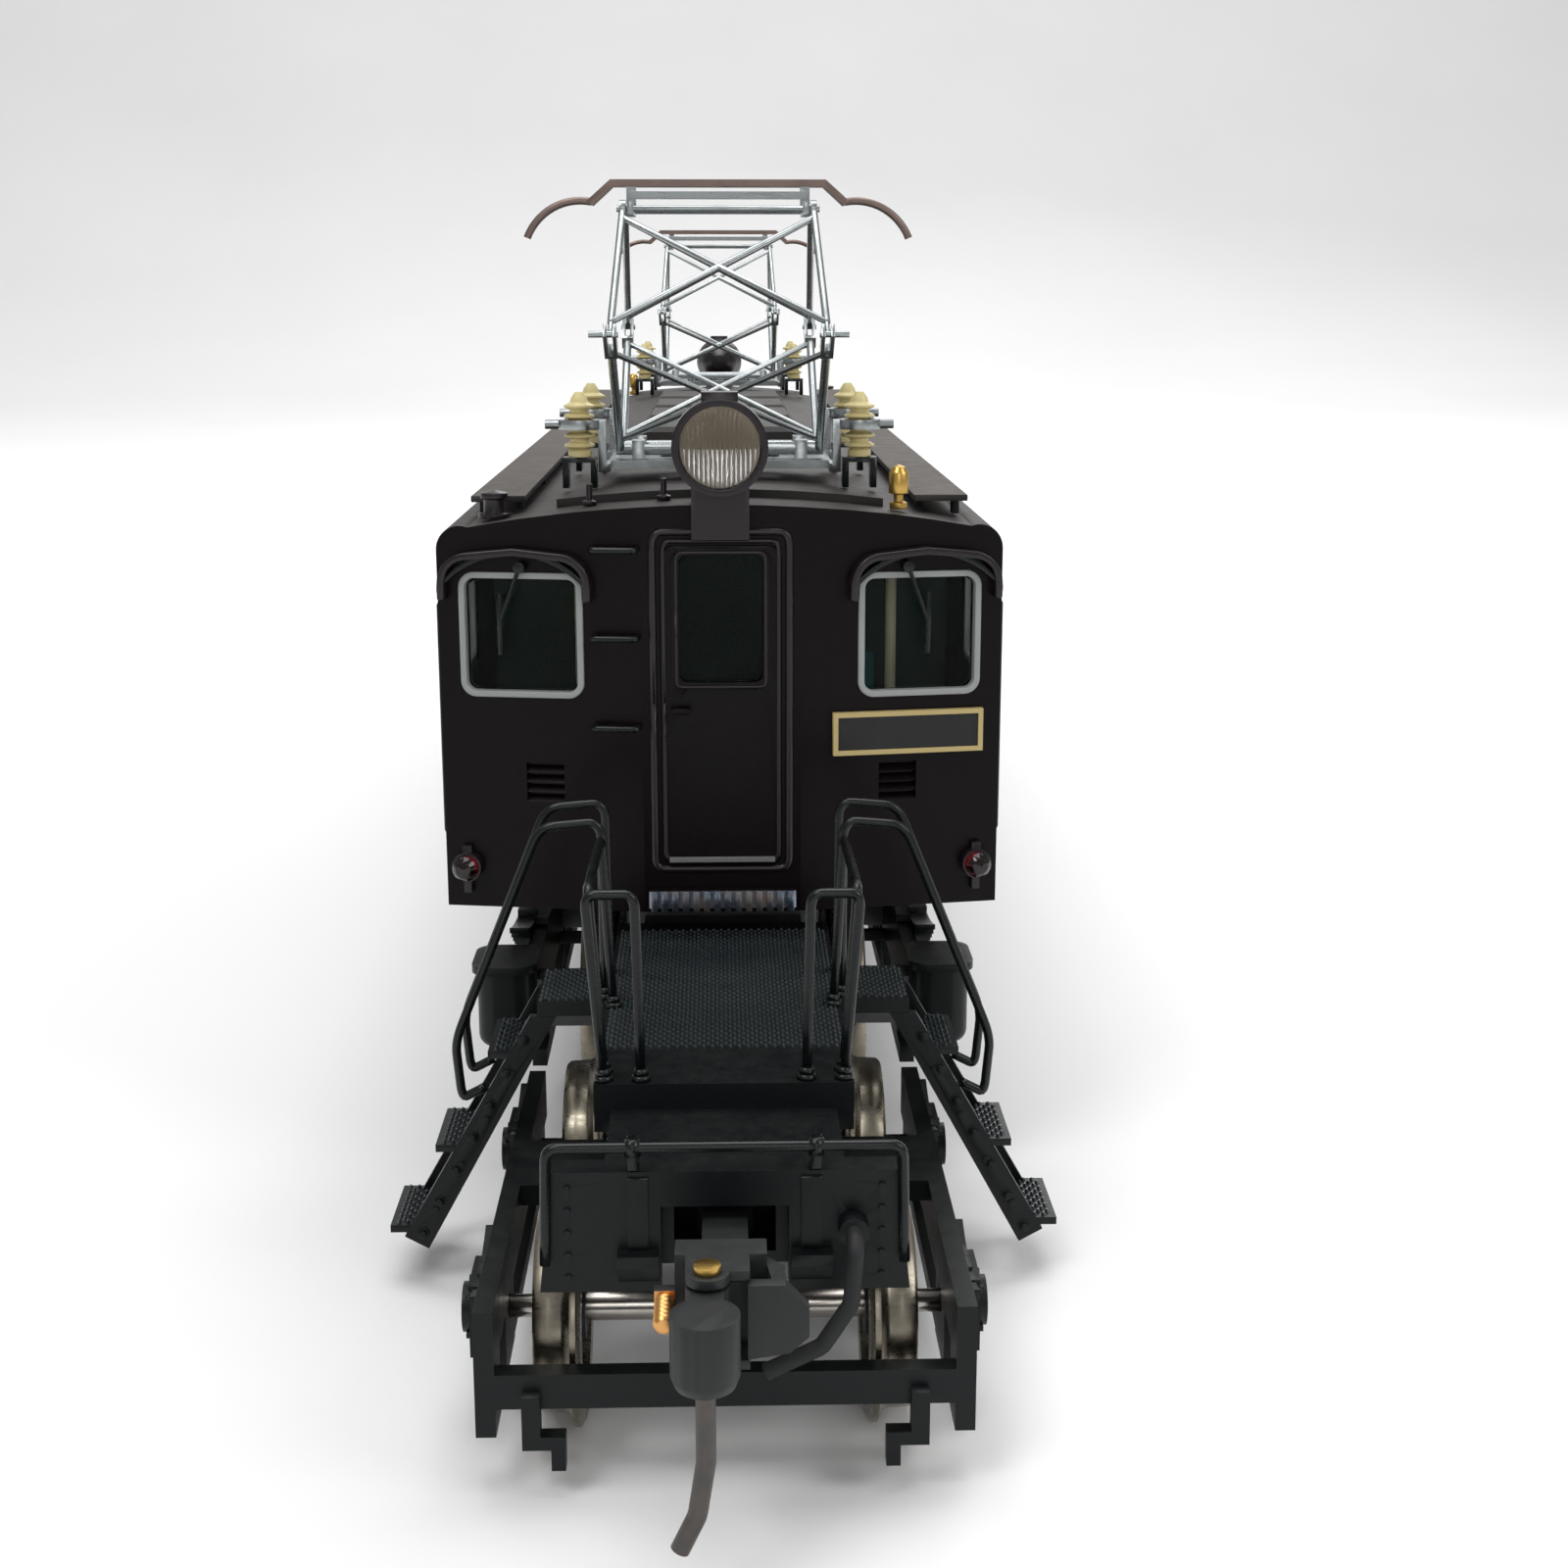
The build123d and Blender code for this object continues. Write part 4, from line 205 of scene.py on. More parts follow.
def make_surface_group():
    """Mottled colour, settled dust, rubbed grain and a height for paint and castings."""
    group, inlet, outlet = new_group(
        "surface_age",
        [("Vector", "v", (0, 0, 0)), ("Colour", "c", (0.5, 0.5, 0.5, 1)), ("Dust Colour", "c", (0.2, 0.18, 0.16, 1)),
         ("Dust", "f", 0.2), ("Roughness", "f", 0.4), ("Mottle", "f", 0.2), ("Grain", "f", 1.0)],
        [("Colour", "c"), ("Roughness", "f"), ("Height", "f")])
    vector = inlet.outputs["Vector"]
    broad = noise(group, vector, 90, 4)
    fine = noise(group, vector, 2600, 3)
    speck = noise(group, vector, 900, 6, 0.7)
    shade = maths(group, "MULTIPLY_ADD", maths(group, "SUBTRACT", broad, 0.5), inlet.outputs["Mottle"])
    shade.node.inputs[2].default_value = 1.0
    bright = group.nodes.new("ShaderNodeHueSaturation")
    group.links.new(inlet.outputs["Colour"], bright.inputs["Color"])
    group.links.new(shade, bright.inputs["Value"])
    normal = group.nodes.new("ShaderNodeNewGeometry")
    split = group.nodes.new("ShaderNodeSeparateXYZ")
    group.links.new(normal.outputs["Normal"], split.inputs[0])
    upward = ramp(group, split.outputs["Z"], 0.35, 1.0)
    settled = maths(
        group, "MULTIPLY", maths(group, "MULTIPLY", upward, ramp(group, speck, 0.35, 0.7)),
        inlet.outputs["Dust"],
    )
    lint = maths(
        group, "MULTIPLY", ramp(group, speck, 0.66, 0.74),
        maths(group, "MULTIPLY", inlet.outputs["Dust"], 0.35),
    )
    dust = maths(group, "MAXIMUM", settled, lint)
    group.links.new(mix_colour(group, dust, bright.outputs[0], inlet.outputs["Dust Colour"]), outlet.inputs["Colour"])
    rough = maths(
        group, "ADD", inlet.outputs["Roughness"],
        maths(group, "MULTIPLY", maths(group, "SUBTRACT", speck, 0.5), 0.22),
    )
    group.links.new(maths(group, "ADD", rough, maths(group, "MULTIPLY", dust, 0.4)), outlet.inputs["Roughness"])
    group.links.new(maths(group, "MULTIPLY", fine, inlet.outputs["Grain"]), outlet.inputs["Height"])
    return group


def make_metal_group():
    """Bare metal: drawn or machined lines, tarnish patches and handling marks."""
    group, inlet, outlet = new_group(
        "bare_metal",
        [("Vector", "v", (0, 0, 0)), ("Colour", "c", (0.7, 0.7, 0.7, 1)), ("Tarnish Colour", "c", (0.3, 0.25, 0.2, 1)),
         ("Tarnish", "f", 0.3), ("Roughness", "f", 0.3), ("Lines", "f", 0.3)],
        [("Colour", "c"), ("Roughness", "f"), ("Height", "f")])
    vector = inlet.outputs["Vector"]
    patch = ramp(group, noise(group, vector, 420, 6, 0.65), 0.42, 0.72)
    stretch = group.nodes.new("ShaderNodeMapping")
    stretch.inputs["Scale"].default_value = (0.12, 1, 1)
    group.links.new(vector, stretch.inputs["Vector"])
    lines = noise(group, stretch.outputs[0], 5200, 2)
    tarnish = maths(group, "MULTIPLY", patch, inlet.outputs["Tarnish"])
    group.links.new(
        mix_colour(group, tarnish, inlet.outputs["Colour"], inlet.outputs["Tarnish Colour"]),
        outlet.inputs["Colour"],
    )
    rough = maths(group, "ADD", inlet.outputs["Roughness"], maths(group, "MULTIPLY", tarnish, 0.35))
    streak = maths(
        group, "MULTIPLY", maths(group, "SUBTRACT", lines, 0.5),
        maths(group, "MULTIPLY", inlet.outputs["Lines"], 0.5),
    )
    group.links.new(maths(group, "ADD", rough, streak), outlet.inputs["Roughness"])
    group.links.new(maths(group, "MULTIPLY", lines, inlet.outputs["Lines"]), outlet.inputs["Height"])
    return group


GROUPS = {}
FINISHES = {}


def start_material(name):
    """A material with its shader and Object coordinates."""
    material = bpy.data.materials.new(name)
    material.use_nodes = True
    tree = material.node_tree
    shader = tree.nodes["Principled BSDF"]
    coords = tree.nodes.new("ShaderNodeTexCoord").outputs["Object"]
    FINISHES[name] = material
    return material, tree, shader, coords


def fill_group(tree, group, coords, values):
    """Place a shared group in a material with its own values."""
    node = tree.nodes.new("ShaderNodeGroup")
    node.node_tree = group
    tree.links.new(coords, node.inputs["Vector"])
    for label, value in values.items():
        node.inputs[label].default_value = (*value, 1.0) if isinstance(value, tuple) else value
    return node


def connect(tree, node, shader, bump, distance=0.02 * MM):
    """Feed a group's colour, roughness and height to the shader."""
    tree.links.new(node.outputs["Colour"], shader.inputs["Base Color"])
    tree.links.new(node.outputs["Roughness"], shader.inputs["Roughness"])
    relief = tree.nodes.new("ShaderNodeBump")
    relief.inputs["Strength"].default_value = bump
    relief.inputs["Distance"].default_value = distance
    tree.links.new(node.outputs["Height"], relief.inputs["Height"])
    tree.links.new(relief.outputs[0], shader.inputs["Normal"])


def paint(
    name, colour, roughness, dust=0.15, mottle=0.25, bump=0.25, coat=0.0, dust_colour=(0.1, 0.09, 0.08),
    gloss=0.35,
):
    """A painted or moulded finish."""
    material, tree, shader, coords = start_material(name)
    values = {
        "Colour": tuple(colour), "Dust Colour": dust_colour, "Dust": dust, "Roughness": roughness,
        "Mottle": mottle,
    }
    connect(tree, fill_group(tree, GROUPS["surface"], coords, values), shader, bump)
    shader.inputs["Coat Weight"].default_value = coat
    shader.inputs["Coat Roughness"].default_value = 0.25
    shader.inputs["Specular IOR Level"].default_value = gloss
    return material


def metal(name, colour, roughness, tarnish=0.3, tarnish_colour=(0.25, 0.2, 0.16), lines=0.3, bump=0.15):
    """A bare metal finish."""
    material, tree, shader, coords = start_material(name)
    values = {
        "Colour": tuple(colour), "Tarnish Colour": tarnish_colour, "Tarnish": tarnish, "Roughness": roughness,
        "Lines": lines,
    }
    connect(tree, fill_group(tree, GROUPS["metal"], coords, values), shader, bump)
    shader.inputs["Metallic"].default_value = 1.0
    return material


def clear(name, colour, roughness, ior=1.5):
    """A clear or tinted glass with faint smears."""
    material, tree, shader, coords = start_material(name)
    smear = ramp(tree, noise(tree, coords, 300, 5), 0.3, 0.8)
    tree.links.new(maths(tree, "MULTIPLY_ADD", smear, 0.03), shader.inputs["Roughness"])
    shader.inputs["Roughness"].links[0].from_node.inputs[2].default_value = roughness
    tree.links.new(mix_colour(tree, smear, colour, tuple(0.93 * part for part in colour)), shader.inputs["Base Color"])
    shader.inputs["Transmission Weight"].default_value = 1.0
    shader.inputs["IOR"].default_value = ior
    return material


def make_finishes(settings):
    """Every finish on the locomotive."""
    GROUPS["surface"] = make_surface_group()
    GROUPS["metal"] = make_metal_group()
    paint("body_paint", settings.body_colour, 0.34, dust=0.015, bump=0.3, coat=0.02, gloss=0.12)
    paint("door_paint", [part * 0.8 for part in settings.body_colour], 0.3, dust=0.015, coat=0.03, gloss=0.14)
    paint("roof_paint", settings.roof_colour, 0.55, dust=0.16, mottle=0.5, gloss=0.25, dust_colour=(0.16, 0.13, 0.11))
    paint("walkway_paint", (0.05, 0.043, 0.036), 0.6, dust=0.4, mottle=0.6, dust_colour=(0.13, 0.105, 0.085))
    paint("gear_paint", settings.gear_colour, 0.38, dust=0.06, mottle=0.4, bump=0.4, gloss=0.25)
    # The studs' paint is the gear colour made five times lighter: a painted highlight for glints on the raised
    # diamonds, over their own blue-black paint.
    paint("tread_paint_and_painted_glint", [part * 5 for part in settings.gear_colour], 0.2, dust=0.08, mottle=0.4, bump=0.2, gloss=1.0)
    paint("rail_paint", [part * 0.9 for part in settings.gear_colour], 0.28, dust=0.03, mottle=0.3, bump=0.2)
    paint("frame_grey", (0.3, 0.31, 0.31), 0.4, dust=0.1, mottle=0.2)
    paint("lamp_paint", (0.008, 0.0045, 0.007), 0.3, dust=0.05, coat=0.15)
    paint(
        "insulator_glaze", settings.insulator_colour, 0.28, dust=0.12, mottle=0.25, bump=0.12,
        dust_colour=(0.3, 0.24, 0.12),
    )
    # The cab green is darkened below the interior's own tone: painted shade for the dim inside of the cabs.
    paint("cab_green_and_painted_shade", (0.012, 0.038, 0.028), 0.6, dust=0.05)
    paint("cab_cream", (0.55, 0.5, 0.33), 0.5, dust=0.05)
    paint("seat_teal", (0.02, 0.14, 0.16), 0.55, dust=0.05)
    paint("board_mask", (0.01, 0.09, 0.03), 0.35, dust=0.05, coat=0.3)
    paint("component_black", (0.02, 0.02, 0.022), 0.45)
    paint("coupler_plastic", (0.017, 0.019, 0.0195), 0.5, dust=0.08, mottle=0.35, bump=0.5)
    paint("wheel_centre", (0.014, 0.015, 0.017), 0.45, dust=0.1)
    paint("plate_field", (0.008, 0.008, 0.009), 0.3, dust=0.03)
    paint("plate_border", (0.5, 0.39, 0.17), 0.35, dust=0.05, mottle=0.3)
    paint("hose_rubber", (0.012, 0.013, 0.014), 0.6, dust=0.12)
    metal("pantograph_metal", (0.36, 0.385, 0.39), 0.27, tarnish=0.4, tarnish_colour=(0.17, 0.18, 0.185), lines=0.4)
    metal(
        "collector_copper", (0.22, 0.165, 0.145), 0.42, tarnish=0.4, tarnish_colour=(0.12, 0.1, 0.095),
        lines=0.6, bump=0.3,
    )
    metal(
        "wheel_nickel", (0.27, 0.245, 0.195), 0.27, tarnish=0.4, tarnish_colour=(0.13, 0.10, 0.07), lines=0.6,
        bump=0.3,
    )
    metal("axle_steel", (0.5, 0.47, 0.43), 0.2, tarnish=0.2, lines=0.4)
    metal("brass", (0.62, 0.40, 0.11), 0.3, tarnish=0.4, tarnish_colour=(0.3, 0.17, 0.05))
    metal("bronze_spring", (0.72, 0.38, 0.13), 0.3, tarnish=0.35, tarnish_colour=(0.4, 0.2, 0.08))
    metal("trip_pin_steel", (0.09, 0.087, 0.084), 0.38, tarnish=0.5, tarnish_colour=(0.2, 0.15, 0.12))
    metal("bright_steel", (0.33, 0.33, 0.33), 0.3, tarnish=0.35, tarnish_colour=(0.16, 0.16, 0.15))
    metal("cast_zinc", (0.17, 0.175, 0.18), 0.5, tarnish=0.4, tarnish_colour=(0.1, 0.1, 0.1), lines=0.1, bump=0.4)
    metal("copper_winding", (0.8, 0.36, 0.16), 0.35, tarnish=0.2)
    metal("step_iridescent", (0.2, 0.24, 0.3), 0.25, tarnish=0.8, tarnish_colour=(0.35, 0.24, 0.16), lines=0.3)
    metal("lamp_reflector", (0.3, 0.27, 0.23), 0.45, tarnish=0.2, lines=0.2)
    clear("pane_glass", (0.8, 0.84, 0.83), 0.0, ior=1.12)
    clear("lens_glass", (0.8, 0.76, 0.68), 0.1, ior=1.45)
    clear("red_glass", (0.12, 0.0, 0.002), 0.08)


# ---- finishing CAD nodes ------------------------------------------------------------------------
def shade_smooth(thing):
    """Shade every face of an object smooth."""
    for face in thing.data.polygons:
        face.use_smooth = True


def soften_edges(node, width, split=0.0):
    """Weld, round the edges and keep flat faces flat on a CAD node, with live modifiers."""
    shade_smooth(node)
    weld = node.modifiers.new("weld", "WELD")
    weld.merge_threshold = 0.002 * MM
    bevel = node.modifiers.new("rounded_edges", "BEVEL")
    bevel.width = width
    bevel.segments = 2
    bevel.limit_method = "ANGLE"
    bevel.angle_limit = math.radians(38)
    bevel.use_clamp_overlap = True
    if split:
        part = node.modifiers.new("flat_sheets", "EDGE_SPLIT")
        part.split_angle = split
    even = node.modifiers.new("even_shading", "WEIGHTED_NORMAL")
    even.keep_sharp = True
    even.weight = 75


def dress(node_name, finishes, pick=None):
    """Give a CAD node its finishes. pick says which finish a face has, from its centre and normal in mm."""
    node = NODES[node_name]
    node.data.materials.clear()
    for name in finishes:
        node.data.materials.append(FINISHES[name])
    if pick:
        for face in node.data.polygons:
            face.material_index = pick(face.center / MM, face.normal)


def at_front(point, turn):
    """A point of either end, turned to the front end's frame."""
    return Vector((point.x * turn, point.y * turn, point.z))


class LOCO_OT_finishes(bpy.types.Operator):
    """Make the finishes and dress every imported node"""

    bl_idname = "loco.finishes"
    bl_label = "Finishes"

    def execute(self, context):
        settings = context.scene.loco_finish
        make_finishes(settings)
        dress_body()
        for end, turn in ENDS:
            dress_truck(end, turn)
            for part in ("lower_outer", "lower_inner", "upper_outer", "upper_inner"):
                dress(f"{end}_pantograph_{part}", ["pantograph_metal"])
            dress(f"{end}_pantograph_head", ["pantograph_metal", "collector_copper"],
                  lambda c, n: int(c.z > HEAD_TOP - 0.5 or abs(c.x) > 7.1))
        sharp = {"body_shell": 1.6, "end_doors": 1.5, "handrails": 0, "body_trim": 0.5, "insulators": 0.6}
        for name, node in NODES.items():
            share = next((value for key, value in sharp.items() if name.endswith(key)), 1.0)
            if "pantograph" in name:
                share = 0.5
            soften_edges(node, settings.edge_round * max(share, 0.1), SHEET_BEND if name == "body_shell" else 0.0)
        return {"FINISHED"}


def dress_body():
    """Finishes of the nodes fixed to the body."""
    dress("body_shell", ["body_paint", "roof_paint"], lambda c, n: int(c.z > 42.4 and n.z > 0.05))
    dress("end_doors", ["door_paint", "step_iridescent", "bright_steel", "frame_grey"], pick_door)
    dress("window_frames", ["frame_grey"])
    dress("window_panes", ["pane_glass"])
    dress("body_trim", ["rail_paint", "plate_field", "plate_border"], pick_trim)
    dress("lamp_housings", ["lamp_paint"])
    dress("headlight_lenses", ["lens_glass"])
    dress("tail_lamp_lenses", ["red_glass"])
    dress("roof_walkways", ["walkway_paint", "roof_paint"], lambda c, n: int(n.z < 0.5))
    dress("roof_fittings", ["roof_paint", "brass", "lamp_paint"], pick_roof)
    dress("insulators", ["insulator_glaze", "rail_paint"], lambda c, n: int(c.z < 47.0))
    dress("pantograph_bases", ["pantograph_metal"])
    dress("underframe", ["cast_zinc"])
    dress("ballast", ["cast_zinc"])
    dress("circuit_board", ["board_mask", "component_black"], lambda c, n: int(c.z > 29.0))
    dress("cab_interiors", ["cab_green_and_painted_shade", "cab_cream", "seat_teal"], pick_cab)


def pick_door(centre, normal):
    """Ribbed steps iridescent, kick strips and handles bright, leaves painted."""
    reach = abs(centre.y)
    if centre.z < 21.2:
        return 1 if reach > 78.85 else 0
    if reach > 78.2 and centre.z < 23.0 and abs(centre.x) < 3.5:
        return 2
    return 0


def pick_trim(centre, normal):
    """Blank plates black inside a gold border, all else painted."""
    front = at_front(centre, -1 if centre.y > 0 else 1)
    along = (front.x - 4.9) / math.cos(math.radians(9))
    on_plate = 6.5 < front.x < 17 and 29.1 < centre.z < 32.0 and front.y < -75.5
    if not on_plate:
        return 0
    inside = 2.35 < along < 11.25 and 29.55 < centre.z < 31.55
    return 1 if inside else 2


def pick_roof(centre, normal):
    """Whistles brass, the small vents and hooks black, the hatch in roof paint."""
    reach = abs(centre.y)
    if reach > 73.2:
        front = at_front(centre, -1 if centre.y > 0 else 1)
        return 1 if front.x > 5 else 2
    return 0


def pick_cab(centre, normal):
    """Poles cream, seats teal, the rest cab green darkened with painted shade."""
    front = at_front(centre, -1 if centre.y > 0 else 1)
    if centre.z > 29.0 and front.y < -70.5:
        return 1
    if 6.0 < front.x < 10.6 and front.y > -70 and 21.5 < centre.z < 34:
        return 2
    return 0


def dress_truck(end, turn):
    """Finishes of one truck's nodes."""
    for part in ("truck_frame", "keeper_plate"):
        dress(f"{end}_{part}", ["cast_zinc"])
    for part in ("side_frames", "guide_frame", "side_steps"):
        dress(f"{end}_{part}", ["gear_paint"])
    dress(f"{end}_handrails", ["rail_paint"])
    dress(f"{end}_end_deck", ["gear_paint", "hose_rubber"],
          lambda c, n: int(abs(c.y) > 112.6 and c.z < 13.9 and abs(c.x) < 7 and abs(c.y) > 113.2))
    dress(f"{end}_pivot_hardware", ["bright_steel"])
    dress(f"{end}_motor_can", ["bright_steel"])
    dress(f"{end}_drive_shaft", ["axle_steel", "brass", "copper_winding"], pick_shaft)
    for index in (1, 2, 3):
        dress(
            f"{end}_driver_{index}", ["wheel_nickel", "wheel_centre", "axle_steel", "brass"],
            pick_wheel(f"{end}_driver_{index}", 6.55),
        )
    for index in (1, 2):
        dress(f"{end}_guide_wheelset_{index}", ["wheel_nickel", "wheel_centre", "axle_steel"],
              pick_wheel(f"{end}_guide_wheelset_{index}", 4.15))
    dress(f"{end}_coupler", ["coupler_plastic", "brass", "bronze_spring"], pick_coupler(turn))
    dress(f"{end}_knuckle", ["coupler_plastic", "trip_pin_steel"], lambda c, n: int(c.z < 10.6))


def pick_shaft(centre, normal):
    """Spindle steel, worms brass, armature copper."""
    reach = math.hypot(centre.x, centre.z - 14.3)
    if reach < 0.8:
        return 0
    return 2 if 2.15 < reach and 18.0 < abs(centre.y) < 31.0 else 1


def pick_wheel(node, rim_radius):
    """Nickel tyres, dark centres, steel axle and brass worm wheel."""
    low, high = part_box(node)
    middle = (low + high) / 2 / MM

    def pick(centre, normal):
        radius = math.hypot(centre.y - middle.y, centre.z - middle.z)
        if abs(centre.x) < 2:
            return 3 if radius > 1.3 and "driver" in node else 2
        if radius < 1.25 and (abs(centre.x) < 7.1 or abs(centre.x) > 9.8):
            return 2
        return 0 if radius > rim_radius - 0.1 and (abs(normal.x) < 0.6 or radius > rim_radius + 0.5) else 1

    return pick


def pick_coupler(turn):
    """Head dark, rivet brass, spring bronze."""

    def pick(centre, normal):
        front = at_front(centre, turn)
        if front.x < -2.24 and front.y < -118:
            return 2
        on_rivet = math.hypot(front.x + 0.8, front.y + 120.1) < 0.63 and centre.z > 14.92
        return 1 if on_rivet else 0

    return pick


# ---- detail pieces --------------------------------------------------------------------------------
def lay_piece(name, form, body, finish, replaced=()):
    """Make a piece of a bmesh drawn in millimetres, finish it, and let it ride on a body."""
    bmesh.ops.remove_doubles(form, verts=form.verts, dist=1e-5)
    bmesh.ops.recalc_face_normals(form, faces=form.faces)
    bmesh.ops.scale(form, vec=(MM, MM, MM), verts=form.verts)
    mesh = bpy.data.meshes.new(name)
    form.to_mesh(mesh)
    form.free()
    mesh.materials.append(FINISHES[finish])
    piece = bpy.data.objects.new(name, mesh)
    bpy.context.scene.collection.objects.link(piece)
    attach(piece, body)
    if replaced:
        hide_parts(*replaced)
    return piece


def stamp(form, template, place):
    """Copy a template mesh into a form at a place."""
    start = len(form.verts)
    form.from_mesh(template)
    form.verts.ensure_lookup_table()
    bmesh.ops.transform(form, matrix=place, verts=form.verts[start:])


def template_of(form, name):
    """A reusable mesh of a small shape."""
    mesh = bpy.data.meshes.new(name)
    form.to_mesh(mesh)
    form.free()
    return mesh


def turned_about_centre(form, turn):
    """Turn a shape drawn at the front half round for the rear."""
    if turn < 0:
        bmesh.ops.rotate(form, cent=(0, 0, 0), matrix=Matrix.Rotation(math.pi, 3, "Z"), verts=form.verts)


def make_stud(length, width, height, name):
    """One raised lozenge of a tread plate, lying along X on the origin."""
    form = bmesh.new()
    bmesh.ops.create_cone(form, cap_ends=True, segments=4, radius1=0.5, radius2=0.16, depth=1.0)
    bmesh.ops.translate(form, vec=(0, 0, 0.5 - 0.25), verts=form.verts)
    bmesh.ops.scale(form, vec=(length, width, height / 0.75), verts=form.verts)
    return template_of(form, name)


def stud_field(form, template, x_span, y_span, z, pitch):
    """Staggered rows of studs, so that they also line up on both diagonals."""
    columns = int((x_span[1] - x_span[0]) / pitch)
    row_gap = pitch * ROW_SHARE
    rows = int((y_span[1] - y_span[0]) / row_gap)
    x_start = (x_span[0] + x_span[1] - (columns - 0.5) * pitch) / 2
    y_start = (y_span[0] + y_span[1] - (rows - 1) * row_gap) / 2
    for row in range(rows):
        for column in range(columns):
            x = x_start + (column + 0.5 * (row % 2)) * pitch
            stamp(form, template, Matrix.Translation((x, y_start + row * row_gap, z)))


class LOCO_OT_tread_plates(bpy.types.Operator):
    """Raise the diamonds on the end decks, their wings and the step treads"""

    bl_idname = "loco.tread_plates"
    bl_label = "Tread plates"

    def execute(self, context):
        settings = context.scene.loco_detail
        pitch = settings.diamond_pitch / MM
        height = settings.diamond_height / MM
        stud = make_stud(pitch * 0.72, pitch * 1.2, height, "deck_stud")
        lozenge = make_stud(pitch * 0.8, pitch * 1.25, height * 1.2, "step_stud")
        for end, turn in ENDS:
            form = bmesh.new()
            stud_field(form, stud, (-DECK_HALF + 0.15, DECK_HALF - 0.15), (-98.4, -76.5), DECK_TOP, pitch)
            for side in (-1, 1):
                span = sorted((side * (DECK_HALF + 0.05), side * (WING_HALF - 0.1)))
                stud_field(form, stud, span, WING_SPAN, DECK_TOP, pitch)
            turned_about_centre(form, turn)
            # The deck and step studs take the lightened tread paint, a painted highlight.
            lay_piece(f"{end}_deck_studs", form, f"{end}_truck", "tread_paint_and_painted_glint")
            form = bmesh.new()
            for side in (-1, 1):
                for x, z in STEP_TREADS:
                    span = sorted((side * (x + 0.05), side * (x + 1.9)))
                    stud_field(form, lozenge, span, (WING_SPAN[0] + 0.1, WING_SPAN[1] - 0.1), z, pitch * 1.1)
            turned_about_centre(form, turn)
            lay_piece(f"{end}_step_studs", form, f"{end}_truck", "tread_paint_and_painted_glint")
        return {"FINISHED"}


class LOCO_OT_headlight_glasses(bpy.types.Operator):
    """Make the fluted headlight glasses and the ringed reflectors behind them"""

    bl_idname = "loco.headlight_glasses"
    bl_label = "Headlight glasses"

    def execute(self, context):
        count = context.scene.loco_detail.flute_count
        glasses = bmesh.new()
        dishes = bmesh.new()
        for _, turn in ENDS:
            glass = bmesh.new()
            bmesh.ops.create_grid(glass, x_segments=count * 6, y_segments=36, size=1.0)
            bow_lens(glass, count)
            bmesh.ops.solidify(glass, geom=glass.faces, thickness=0.12)
            turned_about_centre(glass, turn)
            add_form(glasses, glass)
            dish = bmesh.new()
            bmesh.ops.create_circle(dish, cap_ends=False, segments=48, radius=0.25)
            edges = dish.edges[:]
            for step in range(9):
                grown = bmesh.ops.extrude_edge_only(dish, edges=edges)
                fresh = [item for item in grown["geom"] if isinstance(item, bmesh.types.BMVert)]
                edges = [item for item in grown["geom"] if isinstance(item, bmesh.types.BMEdge)]
                radius = 0.25 + (step + 1) * 0.24
                for vert in fresh:
                    vert.co = vert.co.normalized() * radius
                    vert.co.z = 0.0
            rim = [edge for edge in dish.edges if edge.is_boundary and edge.calc_length() < 0.05]
            bmesh.ops.holes_fill(dish, edges=rim, sides=48)
            bmesh.ops.rotate(dish, cent=(0, 0, 0), matrix=Matrix.Rotation(math.pi / 2, 3, "X"), verts=dish.verts)
            bmesh.ops.translate(dish, vec=(0, LAMP_FRONT + 0.33, LAMP_Z), verts=dish.verts)
            turned_about_centre(dish, turn)
            add_form(dishes, dish)
        lay_piece("headlight_glasses", glasses, "body", "lens_glass", ["headlight_lenses"])
        lay_piece("headlight_reflectors", dishes, "body", "lamp_reflector")
        return {"FINISHED"}


def add_form(whole, part):
    """Move one bmesh's shape into another."""
    mesh = bpy.data.meshes.new("joined_part")
    part.to_mesh(mesh)
    part.free()
    whole.from_mesh(mesh)
    bpy.data.meshes.remove(mesh)


def bow_lens(glass, count):
    """Turn a square grid into a round bowed glass with upright flutes, facing the front."""
    for vert in glass.verts:
        u, v = vert.co.x, vert.co.y
        x = u * math.sqrt(1 - v * v / 2)
        z = v * math.sqrt(1 - u * u / 2)
        bow = 0.28 * (1 - x * x - z * z)
        flute = 0.1 * abs(math.sin(math.pi * count * (x + 1) / 2)) * (1 - (x * x + z * z) ** 4)
        vert.co = (x * LENS_RADIUS, LAMP_FRONT + 0.1 - bow - flute, LAMP_Z + z * LENS_RADIUS)


def coil(start, run, radius, wire, turns):
    """A coil spring: a small ring swept round and along its run, in millimetres."""
    form = bmesh.new()
    length = run.length
    bmesh.ops.create_circle(form, cap_ends=True, segments=8, radius=wire)
    bmesh.ops.rotate(form, cent=(0, 0, 0), matrix=Matrix.Rotation(math.pi / 2, 3, "X"), verts=form.verts)
    bmesh.ops.translate(form, vec=(radius, 0, 0), verts=form.verts)
    steps = turns * 14
    geom = form.verts[:] + form.edges[:] + form.faces[:]
    bmesh.ops.spin(
        form, geom=geom, cent=(0, 0, 0), axis=(0, 0, 1), dvec=(0, 0, length / steps),
        angle=turns * 2 * math.pi, steps=steps, use_merge=False, use_duplicate=False)
    turn = Vector((0, 0, 1)).rotation_difference(run)
    bmesh.ops.rotate(form, cent=(0, 0, 0), matrix=turn.to_matrix(), verts=form.verts)
    bmesh.ops.translate(form, vec=start, verts=form.verts)
    return form


def turn_corner(form, edges, centre, axis, angle):
    """Spin edges round a corner and give the new far edges."""
    made = bmesh.ops.spin(form, geom=edges, cent=centre, axis=axis, angle=angle, steps=8, use_merge=False)
    return [item for item in made["geom_last"] if isinstance(item, bmesh.types.BMEdge)]


